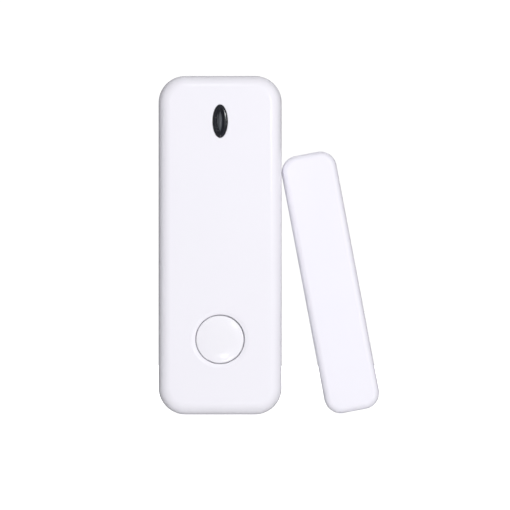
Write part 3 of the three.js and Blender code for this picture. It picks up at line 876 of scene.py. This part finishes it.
SMALL_PARTS = {  # two-ended chip parts: height over the board, look, and the middle of each
    "resistors": (0.45, RESISTOR_BODY, [(5, -12), (5, -8), (5, -4), (3, -19), (-5, -19), (5, 33)]),
    "ceramics": (0.75, CERAMIC, [(0, 4), (4, 18), (0, 24), (-4, 31), (6.2, 12.5)]),
}
SMALL_SPOTS = [spot for _, _, spots in SMALL_PARTS.values() for spot in spots]
TRACKS = [  # width, then the route
    (0.8, [(13.1, -31), (13.1, -25.5), (8.3, -20.7), (8.3, 9), (9.5, 10.2), (9.5, 24.8)]),
    (0.8, [(-13.1, -31), (-13.1, 15.5), (-11, 18)]),
    (0.3, [(-3.4, -29.5), (-6.5, -29.5), (-6.5, -21), (-5.8, -19)]),
    (0.3, [(3.4, -25.5), (3.8, -25), (3.8, -19)]),
    (0.25, [(-4.2, -19), (-4.2, -13.4), (-5, -12.6), (-5, -11.9), (-3.4, -11.9)]),
    (0.25, [(2.2, -19), (2.2, -15.5), (0.9, -14.2), (0.9, -12.4), (1.4, -11.9), (4.2, -12)]),
    (0.25, [(1.4, -9.4), (2.9, -9.4), (4.2, -8.1)]),
    (0.25, [(1.4, -8.1), (2.4, -8.1), (2.4, -5.5), (3.9, -4)]),
    (0.4, [(5.8, -12), (8.2, -12)]),
    (0.4, [(5.8, -8), (8.2, -8)]),
    (0.4, [(5.8, -4), (8.2, -4)]),
    (0.25, [(-3.4, -8.1), (-5.2, -8.1), (-5.2, 2.6), (-3.8, 4), (-0.9, 4)]),
    (0.3, [(0.9, 4), (1.7, 4.8), (1.7, 11.5)]),
    (0.3, [(1.7, 13.4), (-2, 13.4), (-4.8, 10.6), (-4.8, 11.8), (-6.2, 11.8)]),
    (0.6, [(-9.8, 11.8), (-11, 10.6), (-11, 6.4), (-7.9, 3.3), (-7.9, -12.6)]),
    (0.3, [(4.3, 11.5), (5.4, 12.5)]),
    (0.3, [(-5, 21), (-2, 21), (1, 18), (3.2, 18)]),
    (0.4, [(4.8, 18), (9.4, 18)]),
    (0.3, [(-0.9, 24), (-3, 24), (-4.4, 22.6)]),
    (0.3, [(0.9, 24), (6.9, 24), (8.1, 25.2)]),
    (0.3, [(2.2, 36.2), (4.2, 34.2), (4.2, 33)]),
    (0.4, [(5.8, 33), (9.5, 29.3), (9.5, 26.5)]),
    (0.3, [(-2.2, 36.2), (-3.2, 35.2), (-3.2, 31)]),
    (0.4, [(-4.8, 31), (-8, 27.8), (-8, 25)]),
    (0.3, [(11.4, -14.4), (8.4, -14.4)]),
    (0.3, [(11.4, 6.4), (10.6, 7.2), (10.6, 7.94)]),
    (0.3, [(6.52, 7.22), (2.6, 3.3), (2.6, -3.1), (2.08, -3.62)]),
]
VIAS = [
    (10.6, 8.2), (6.7, 7.4), (-3.9, -9.4), (-5.9, -9.4), (-9.4, -20.5), (6.3, -24.5), (1.9, -3.8), (6, 3.4),
    (-2.6, 8.8), (4.6, 27.4), (-11.6, 27), (-1.6, 16.4), (12.9, 15.2), (12.9, 33.2), (-12.4, 32.6),
    (5.9, 38.6), (-5.6, 42.4),
]
WIRE_JOINTS = [(-7.9, -12.6), (-9.8, 11.8), (-6.2, 11.8)]  # soldered on both faces
BACK_JOINTS = [
    (-1.27, 36.2), (1.27, 36.2), (8.5, 26), (10.5, 26), (-10.5, 21), (-5.5, 21), (13.1, -32.2),
    (-13.1, -32.2), *WIRE_JOINTS,
]


def circuit_board():
    outline_at = rounded_at(span(BOARD_X), span(BOARD_Y), 3.4, 10, cy=sum(BOARD_Y) / 2)
    plate = softened(outline_at, *BOARD_Z, 0.05, 1)
    holes = [round_at(1.1, *spot, 36) for spot in SCREWS]
    holes += [round_at(PIN_RADIUS + 0.15, *spot, 36) for spot in PINS]
    holes += [round_at(0.16, *spot, 12) for spot in VIAS]
    drills = [prism(hole, BOARD_Z[0] - 1, DECK + 1) for hole in holes]
    board = piece(cut(plate, *drills), "board_laminate", "main_board", [MASK, LAMINATE])
    for face in board.data.polygons:
        face.material_index = int(abs(face.normal.y) < 0.6)


def ring(spot, outer, inner, sides):
    """A copper ring round a hole."""
    outlines = round_at(outer, *spot, sides), round_at(inner, *spot, sides)
    return hoop(*outlines, DECK - SUNK, DECK + RING_RISE)


def printed(outline_at):
    """A printed line along an outline."""
    return hoop(outline_at(-PRINT_WIDTH / 2), outline_at(PRINT_WIDTH / 2), DECK - SUNK, DECK + PRINT_RISE)


def printed_frame(node, margin):
    xs, ys, _ = box_mm(node)
    return printed(rounded_at(span(xs) + 2 * margin, span(ys) + 2 * margin, 0.3, 3, *middle(node)))


def printed_circle(node, radius):
    return printed(lambda inset: round_at(radius - inset, *middle(node), 56))


def pad(x, y, width, length):
    """A pad with its skin of solder."""
    rise = 0.06
    corner = min(width, length) * 0.3

    def outline_at(inset):
        return rounded(width - 2 * inset, length - 2 * inset, corner * 0.9 - inset * 0.9, 3, x, y)

    steps = [(0, -SUNK), (0, rise * 0.4), (corner * 0.35, rise * 0.85), (corner * 0.8, rise)]
    return loft(stack(outline_at, [(inset, DECK + z) for inset, z in steps]))


def cone(x, y, level, way, foot, height):
    """A cone of solder that stands on one face of the board, way 1 up or -1 down."""
    shape = [(1, -SUNK), (0.96, 0.06), (0.62, 0.22), (0.42, 0.45), (0.34, height)]
    return turned([(foot * share, level + way * z) for share, z in shape][::way], x, y, 20)


def board_details():
    tracks = [  # each a hair higher than the last, so that no two faces lie in one plane
        ribbon(route, width, DECK - SUNK - 0.0004 * i, DECK + 0.02 + 0.0008 * i)
        for i, (width, route) in enumerate(TRACKS)
    ]
    tracks += [ring(spot, 0.36, 0.17, 16) for spot in VIAS]
    piece(together(*tracks), "board_tracks", "main_board", TRACE)

    margins = {"encoder_chip": 0.35, "rf_transistor": 0.35, "switch_base": 0.3, "rf_coil": 0.5}
    circles = {"saw_resonator": 5.1, "storage_capacitor": 2.95, "status_led": 2.35}
    prints = [printed_frame(node, margin) for node, margin in margins.items()]
    prints += [printed_circle(node, radius) for node, radius in circles.items()]
    prints += [printed(rounded_at(2.6, 1.5, 0.25, 3, *spot)) for spot in SMALL_SPOTS]
    piece(together(*prints), "board_outlines", "main_board", PRINT)

    chip_x, chip_y = middle("encoder_chip")
    rf_x, rf_y = middle("rf_transistor")
    joints = [pad(x + side * 0.85, y, 0.8, 1.0) for x, y in SMALL_SPOTS for side in SIDES]
    rows = [(i - 1.5) * 1.27 for i in range(4)]
    joints += [pad(chip_x + side * 2.65, chip_y + row, 1.1, 0.62) for side in SIDES for row in rows]
    joints += [pad(rf_x + side * 1.4, rf_y + end * 0.95, 1.0, 0.75) for side, end in CORNERS]
    joints += [pad(BUTTON_X + side * 3.4, BUTTON_Y + end * 2, 1.3, 1.2) for side, end in CORNERS]
    joints += [pad(side * 13.2, BOARD_Y[0] + 2, 1.6, 2.6) for side in SIDES]
    joints += [ring(spot, 2.1, 1.25, 40) for spot in PINS]
    joints += [cone(REED[0], REED[1] + end * 10.4, DECK, 1, 0.7, 0.5) for end in SIDES]
    joints += [cone(*spot, DECK, 1, 0.6, 0.35) for spot in WIRE_JOINTS]
    joints += [cone(*spot, BOARD_Z[0], -1, 0.75, 0.7) for spot in BACK_JOINTS]
    piece(together(*joints), "board_solder", "main_board", SOLDER)

    for kind, (height, look, spots) in SMALL_PARTS.items():
        low, top = DECK + 0.03, DECK + height
        bodies = [
            block((x - 0.55, x + 0.55), (y - 0.4, y + 0.4), (DECK + 0.06, top), 0.04, 0.06) for x, y in spots
        ]
        ends = [
            block((x + side * 0.5, x + side * 0.82), (y - 0.42, y + 0.42), (low, top + 0.02), 0.05, 0.08)
            for x, y in spots for side in SIDES
        ]
        piece(together(*bodies), "board_" + kind, "main_board", look)
        piece(together(*ends), f"board_{kind}_ends", "main_board", SOLDER)


def crossed(reach, half_width, low, high, edge, corner):
    """The two bars of a cross, round the origin."""
    return [
        block((-x, x), (-y, y), (low, high), edge, corner)
        for x, y in ((reach, half_width), (half_width, reach))
    ]


def board_screw(node):
    head, height, length = 1.9, 1.3, 4.4
    crest, root, pitch = 0.95, 0.74, 0.62
    shape = ((root, 0), (crest, 0.4), (crest, 0.52), (root, 0.92))
    thread = [(r, -length + 0.9 + pitch * (turn + rise)) for turn in range(5) for r, rise in shape]
    profile = [(0.25, -length), (0.45, -length + 0.25)] + thread + [(root, 0), (head - 0.06, 0), (head, 0.06)]
    profile += arc(head - 0.7, height - 0.7, 0.7, 0, 90, 7) + [(0.2, height)]
    screw = cut(turned(profile, sides=44), *crossed(1.1, 0.2, height - 0.7, height + 1, 0.02, 0.12))
    mounted(screw, node + "_steel", node, TINNED)


def push_switch():
    half, height, top = 3, 3.2, 3.5
    well = turned([(2, height - 1.2), (2, height + 1)], sides=44)
    recesses = [
        block((side * (half - 0.1), side * (half + 1)), (end * 1.55, end * 2.45), (-1, 1.2), 0.01, 0.02)
        for side, end in CORNERS
    ]
    body = softened(rounded_at(2 * half, 2 * half, 0.55, 5), 0.05, height, 0.06, 2)
    body = cut(body, well, *recesses)
    mounted(body, "switch_body", "switch_base", BLACK_PLASTIC)

    leg = [(2.7, 0.95), (2.98, 0.93), (3.08, 0.8), (3.14, 0.3), (3.25, 0.14), (3.7, 0.12)]
    legs = together(*(bent_leg(leg, side, end * 2, 0.62, 0.16) for side, end in CORNERS))
    mounted(legs, "switch_legs", "switch_base", TINNED)

    mouth = turned([(1.95, height - 1), (1.95, top - 0.08), (2.1, top + 0.05), (2.1, top + 1)], sides=44)
    plate = cut(softened(rounded_at(2 * half, 2 * half, 0.5, 5), height + 0.02, top, 0.05, 2), mouth)
    mounted(plate, "switch_top_plate", "switch_plate", PRESSED_STEEL)

    rivet = [(0.3, height - 0.2), (0.42, top - 0.05)] + arc(0.2, top, 0.14, 0, 90, 4)
    rivets = together(*(turned(rivet, side * 2.3, end * 2.3, 20) for side, end in CORNERS))
    mounted(rivets, "switch_rivets", "switch_plate", BLACK_PLASTIC)

    stem = [(1.7, 2.45), (1.75, 2.5), (1.72, 4.65)] + arc(1.42, 4.7, 0.3, 0, 90, 6) + [(0.3, 5.0)]
    stem = turned(stem, sides=44)
    mounted(stem, "switch_stem", "switch_plunger", BLACK_PLASTIC, "plunger")


def indicator():
    node = "status_led"
    rim, radius, dome = 1.9, 1.5, 3.2
    profile = [(rim - 0.05, 0.1), (rim, 0.15), (rim, 0.95), (rim - 0.05, 1), (radius + 0.05, 1)]
    profile += [(radius, 1.06)] + arc(0, dome, radius, 0, 88, 14)
    bulb = turned(profile)
    flat = block((-3, -rim + 0.22), (-3, 3), (-1, 1.0), 0.01, 0.02)
    mounted(cut(bulb, flat), "led_epoxy", node, EPOXY)
    post = block((0.3, 0.75), (-0.22, 0.22), (0.2, 2.5), 0.03, 0.06)
    anvil = block((-0.95, -0.35), (-0.25, 0.25), (0.2, 2.1), 0.03, 0.06)
    cup = [(0.25, 2.0), (0.5, 2.15), (0.56, 2.5), (0.46, 2.5), (0.26, 2.26), (0.05, 2.25)]
    leads = together(post, union(anvil, turned(cup, -0.3, 0, 28)))
    mounted(leads, "led_lead_frame", node, NICKEL_STRIP)


def reed_switch():
    half = 7

    def capsule(end):
        """A closed tube from one end's (radius, distance from the tip) points."""
        return turned([(r, d - half) for r, d in end] + [(r, half - d) for r, d in end[::-1]], sides=40)

    wall = capsule([(0.32, 0), (0.5, 0.04), (0.78, 0.2), (0.98, 0.52), (1.1, 1.0)])
    room = capsule([(0.1, 2.4), (0.3, 2.2), (0.62, 1.9), (0.78, 2.0), (0.84, 2.4)])
    glass = moved(cut(wall, room), *REED, -pi / 2, "X")
    piece(glass, "reed_tube", "reed_glass", GLASS, sharp=50)
    bend = [(4.9, 0), (8.65, 0), (9.4, -0.02), (9.85, -0.12), (10.15, -0.32), (10.33, -0.62), (10.4, -1.0)]
    bend.append((10.4, -1.45))
    for way, node in ((1, "reed_lead_upper"), (-1, "reed_lead_lower")):
        lead = tube([(0, way * y, z) for y, z in bend], 0.28, 16)
        lift = way * 0.16
        blade = block((-0.42, 0.42), (way * -0.9, way * 5.2), (lift - 0.1, lift + 0.1), 0.04, 0.12)
        lead = moved(together(lead, blade), *REED)
        piece(lead, node + "_blade", node, NICKEL_STRIP)


def small_chip(node, width, length, height, legs_per_side, pitch, leg_width=0.4):
    half = width / 2
    waist = height * 0.48
    steps = [(0.14, 0.15), (0.1, 0.2), (0, waist - 0.05), (0, waist + 0.08)]
    steps += [(0.13, height - 0.03), (0.17, height)]
    body = loft(stack(lambda inset: rounded(width - 2 * inset, length - 2 * inset, 0.1, 2), steps))
    dimple = turned([(0.26, height - 0.08), (0.3, height + 0.2)], -half + 0.68, length / 2 - 0.68, 24)
    mounted(cut(body, dimple), node + "_body", node, CHIP_EPOXY)
    path = [
        (half - 0.2, waist), (half + 0.2, waist), (half + 0.34, waist - 0.1), (half + 0.46, 0.26),
        (half + 0.58, 0.13), (half + 1, 0.12),
    ]
    ys = [(i - (legs_per_side - 1) / 2) * pitch for i in range(legs_per_side)]
    legs = together(*(bent_leg(path, side, y, leg_width, 0.18, 0.04) for side in SIDES for y in ys))
    mounted(legs, node + "_legs", node, TINNED)


def resonator():
    node = "saw_resonator"
    profile = [(4.5, 0.1), (4.6, 0.18), (4.6, 0.62), (4.52, 0.7), (4.22, 0.72), (4.1, 0.86)]
    profile += arc(3.55, 2.75, 0.55, 0, 90, 8) + [(3.2, 3.3), (3.05, 3.26), (0.4, 3.26)]
    mounted(turned(profile, sides=72), "resonator_can", node, PRESSED_STEEL)


def capacitor():
    node = "storage_capacitor"
    groove = [(2.5, 0.95), (2.44, 1.02), (2.33, 1.1), (2.3, 1.2), (2.33, 1.3), (2.44, 1.38), (2.5, 1.46)]
    profile = [(2.3, 0.4), (2.46, 0.42), (2.5, 0.5)] + groove + arc(2.15, 4.75, 0.35, 0, 100, 7)
    sleeve = turned(profile + [(1.95, 5.02), (1.93, 4.85)], sides=56)
    mounted(sleeve, "capacitor_sleeve", node, SLEEVE)
    end = turned([(1.9, 4.7), (1.9, 4.96), (1.82, 4.99), (0.3, 5.0)], sides=56)
    end = cut(end, *crossed(1.5, 0.07, 4.93, 6, 0.01, 0.04))
    mounted(end, "capacitor_can_end", node, ALUMINIUM_CAN)
    bung = turned([(1.5, 0.1), (2.1, 0.12), (2.2, 0.25), (2.2, 0.45)], sides=48)
    mounted(bung, "capacitor_bung", node, RUBBER_BUNG)


def helix(turns, start, end, near_radius, far_radius):
    """Points of a coil about x."""
    per_turn = 30
    points = []
    for i in range(turns * per_turn + 1):
        share = i / (turns * per_turn)
        radius = near_radius + (far_radius - near_radius) * share
        angle = 2 * pi * i / per_turn
        points.append((start + (end - start) * share, radius * cos(angle), radius * sin(angle)))
    return points


def coils():
    half, radius, rise = 1.8, 1.3, 1.7
    winding = helix(4, -half, half, radius, radius)[1:-1]
    near, far = ([(x, radius, -rise - 0.1), (x, radius, -0.5)] for x in (-half, half))
    wire = moved(tube(near + winding + far[::-1], 0.25, 14), -8, 10.5, DECK + rise)
    piece(wire, "rf_coil_wire", "rf_coil", ENAMELLED)
    radius, length, rise = 2.1, 15, 2.8
    foot = [(-1.1, -radius - 0.35), (-1.1, -1.6), (-0.95, -1.0), (-0.6, -0.45)]
    path = [(radius, y, z) for y, z in foot]
    path += [(y, x, z) for x, y, z in helix(8, 0, length, radius, radius)[1:]]
    aerial = moved(tube(path, 0.4, 16), -10, -11.5, DECK + rise)
    piece(aerial, "spring_aerial_wire", "spring_aerial", GOLD_WIRE)


# ---------- the battery and its contacts ----------


def battery_cell():
    radius, length = BATTERY_RADIUS, span(BATTERY_X) - 0.9
    top = length + 0.9

    def lay(profile, sides, name, look):
        obj = moved(turned(profile, sides=sides), BATTERY_X[0], *BATTERY_AXIS, pi / 2, "Y")
        piece(obj, name, "battery", look)

    near = arc(radius - 0.45, 0.55, 0.45, -90, 0)
    far = arc(radius - 0.45, length - 0.5, 0.45, 0, 90)
    sleeve = [(4.1, 0.35), (4.2, 0.12)] + near + far + [(3.9, length - 0.08), (3.8, length - 0.3)]
    lay(sleeve, 72, "battery_printed_sleeve", WRAP)
    cap = [(0.4, 0.04), (3.3, 0.04), (3.5, 0), (3.9, 0), (4.0, 0.08), (4.0, 0.6)]
    lay(cap, 64, "battery_end_cap", NICKEL_STRIP)
    washer = [(3.78, length - 0.6), (3.78, length - 0.16), (3.7, length - 0.1), (2.8, length - 0.1)]
    lay(washer + [(2.75, length - 0.5)], 64, "battery_insulator", RUBBER_BUNG)
    nub = [(2.6, length - 0.7), (2.6, top - 0.25), (2.53, top - 0.08), (2.38, top), (1.9, top)]
    lay(nub + [(1.75, top - 0.05), (0.3, top - 0.05)], 56, "battery_nub", NICKEL_STRIP)


def eased(corners, size, steps=4):
    """A polygon with its corners rounded."""
    points = []
    for i, corner in enumerate(corners):
        before, after = Vector(corners[i - 1]), Vector(corners[(i + 1) % len(corners)])
        corner = Vector(corner)
        start = corner + (before - corner).normalized() * size
        end = corner + (after - corner).normalized() * size
        for k in range(steps + 1):
            t = k / steps
            points.append(tuple(start * (1 - t) ** 2 + corner * 2 * t * (1 - t) + end * t * t))
    return points


FACE_X = Matrix(((0, 0, 1, 0), (1, 0, 0, 0), (0, 1, 0, 0), (0, 0, 0, 1)))  # a drawing in y and z faces x


def battery_contact(side, node, name):
    """A stamped plate at one end of the cell, with an arm that runs along to its foot on the board."""
    thickness, outer = 0.3, 16
    y0, y1, arm_y = BATTERY_AXIS[0] - 3, BATTERY_AXIS[0] + 3, BOARD_Y[0] + 3
    low, arm_low, arm_high, high = 3.2, DECK + 0.6, DECK + 2.8, 11.6
    sheet = [(y0, low), (y1, low), (y1, arm_low), (arm_y, arm_low)]
    sheet += [(arm_y, arm_high), (y1, arm_high), (y1, high), (y0, high)]
    plate = prism(eased(sheet, 0.45), *sorted((side * outer, side * (outer - thickness))))
    plate.data.transform(FACE_X)
    bend = [
        (outer - 0.15, arm_low + 1), (outer - 0.15, arm_low + 0.5), (outer - 0.24, arm_low + 0.24),
        (outer - 0.5, arm_low + 0.15), (13.5, arm_low + 0.15), (13.24, arm_low + 0.06),
        (13.15, arm_low - 0.15), (13.15, DECK + 0.05),
    ]
    parts = [bent_leg(bend, side, arm_y - 1, 2, thickness - 0.02)]
    if side > 0:
        dimple = turned([(1.5, -0.1), (1.45, 0.02), (1.1, 0.14), (0.6, 0.2), (0.1, 0.22)], sides=36)
        parts.append(moved(dimple, outer - thickness, *BATTERY_AXIS, -pi / 2, "Y"))
    piece(union(plate, *parts), name, node, NICKEL_STRIP)


def battery_spring():
    coil = helix(turns=3, start=-15.35, end=-13.25, near_radius=3.6, far_radius=2.0)
    coil = moved(tube(coil, 0.28, 14), 0, *BATTERY_AXIS)
    piece(coil, "battery_spring_wire", "battery_spring", SPRING_WIRE)


circuit_board()
board_details()
board_screw("board_screw_upper")
board_screw("board_screw_lower")
push_switch()
indicator()
reed_switch()
small_chip("encoder_chip", width=3.9, length=4.9, height=1.6, legs_per_side=4, pitch=1.27)
small_chip("rf_transistor", width=1.4, length=2.9, height=1.1, legs_per_side=2, pitch=1.9, leg_width=0.45)
resonator()
capacitor()
coils()
battery_cell()
battery_contact(1, "battery_positive_contact", "battery_plate_positive")
battery_contact(-1, "battery_negative_contact", "battery_plate_negative")
battery_spring()

# ---------- stage, light and camera ----------

FRAME_WIDTH = 0.14925
LENS_MM = 400
SENSOR_MM = 36
AIM = Vector((0.01020, -0.012, -0.00287))

FLOOR_RADIUS = 3
FLOOR_DROP = 0.0001
FLOOR_GLOW = 0.69
BACKDROP_LEVEL = 1.05
ROOM_COLOUR = (0.985, 0.985, 1.0, 1)
ROOM_LEVEL = 0.2
LOBES = [  # direction, tightness, level
    ((0.2, -1, 0.04), 1.3, 1.2),
    ((0, 0, 1), 2, 0.18),
    ((1, 0, 0), 2, -0.19),
    ((1, -1, 0), 6, -0.35),
    ((-1, 0, 0), 1.5, -0.12),
    ((0, 0, -1), 2, 0.36),
    ((0, -1, 0), 10, -1.0),  # the dark side of the room, round the camera
]


def stage_floor():
    bm = bmesh.new()
    bmesh.ops.create_circle(bm, cap_ends=True, segments=96, radius=FLOOR_RADIUS)
    floor = solid(bm)
    floor.name = "stage_floor"
    floor.location = (0, 0, CAD_BOX[0].z - FLOOR_DROP)
    look = Look("stage_floor", (0.93, 0.93, 0.94), 0.7)
    look.paint(look.blend(look.noise(3, 2), (0.92, 0.92, 0.93, 1), (0.94, 0.94, 0.95, 1)))
    look.set(look.shader, Emission_Color=(1, 1, 1, 1), Emission_Strength=FLOOR_GLOW)
    floor.data.materials.append(look.material)
    floor.visible_diffuse = floor.visible_glossy = False


def studio():
    """A pale room with a broad soft light in front, some from above and below, and plain white behind."""
    world = bpy.data.worlds.new("studio")
    scene.world = world
    nodes = Nodes(world)
    nodes.tree.nodes.clear()
    place = nodes.add("TexCoord").outputs["Generated"]
    strength = ROOM_LEVEL
    for direction, tightness, level in LOBES:
        direction = Vector(direction).normalized()
        facing = nodes.maths("DOT_PRODUCT", place, direction, kind="VectorMath")
        facing = nodes.maths("POWER", nodes.maths("MAXIMUM", facing, 0.0), tightness)
        strength = nodes.maths("MULTIPLY_ADD", facing, level, strength)
    seen = nodes.add("LightPath").outputs["Is Camera Ray"]
    room = nodes.add("Background", ROOM_COLOUR, strength).outputs[0]
    backdrop = nodes.add("Background", (1, 1, 1, 1), BACKDROP_LEVEL).outputs[0]
    nodes.add("OutputWorld", nodes.add("MixShader", seen, room, backdrop).outputs[0])


def softbox(name, turn, lean, size, radiance, target=(0.01, 0), distance=0.8, mirrored=True):
    """A rectangular light. turn is its angle round the camera's axis, lean its angle off
    that axis, and size its width outward and its length around."""
    turn, lean = radians(turn), radians(lean)
    way = Vector((sin(lean) * cos(turn), -cos(lean), sin(lean) * sin(turn)))
    outward = Vector((cos(lean) * cos(turn), sin(lean), cos(lean) * sin(turn)))
    round_axis = Vector((-sin(turn), 0, cos(turn)))
    lamp = bpy.data.lights.new(name, "AREA")
    lamp.shape, lamp.size, lamp.size_y = "RECTANGLE", *size
    lamp.energy = radiance * pi * size[0] * size[1]
    obj = bpy.data.objects.new(name, lamp)
    obj.location = Vector((target[0], CAD_BOX[0].y, target[1])) + way * distance
    obj.rotation_euler = Matrix((outward, round_axis, way)).transposed().to_euler()
    obj.visible_camera, obj.visible_glossy = False, mirrored
    scene.collection.objects.link(obj)


def camera_eye():
    camera = bpy.data.cameras.new("camera")
    camera.lens, camera.sensor_width = LENS_MM, SENSOR_MM
    camera.clip_start, camera.clip_end = 0.01, 20
    eye = bpy.data.objects.new("camera", camera)
    eye.location = AIM + Vector((0, -FRAME_WIDTH * LENS_MM / SENSOR_MM, 0))
    eye.rotation_euler = (pi / 2, 0, 0)
    scene.collection.objects.link(eye)
    return eye


stage_floor()
studio()
button = (BUTTON_X * MM, BUTTON_Y * MM)
softbox("back_box", turn=90, lean=165, size=(0.6, 0.6), radiance=3.2, distance=0.7, mirrored=False)
softbox("side_box", turn=20, lean=18, size=(0.6, 0.6), radiance=3.76, distance=0.84, mirrored=False)
softbox("edge_box", turn=91.2, lean=30.9, size=(0.08, 0.05), radiance=9, target=(0, 0.047))
softbox("streak_box", turn=22, lean=18.5, size=(0.017, 0.15), radiance=52)
softbox("low_box", turn=-77, lean=16, size=(0.04, 0.09), radiance=34)
softbox("button_box_upper", turn=41.5, lean=9.2, size=(0.035, 0.035), radiance=9, target=button)
softbox("button_box_lower", turn=-78, lean=7.2, size=(0.035, 0.04), radiance=11, target=button)

scene.camera = camera_eye()
scene.view_settings.view_transform = "Standard"
scene.view_settings.look = "None"
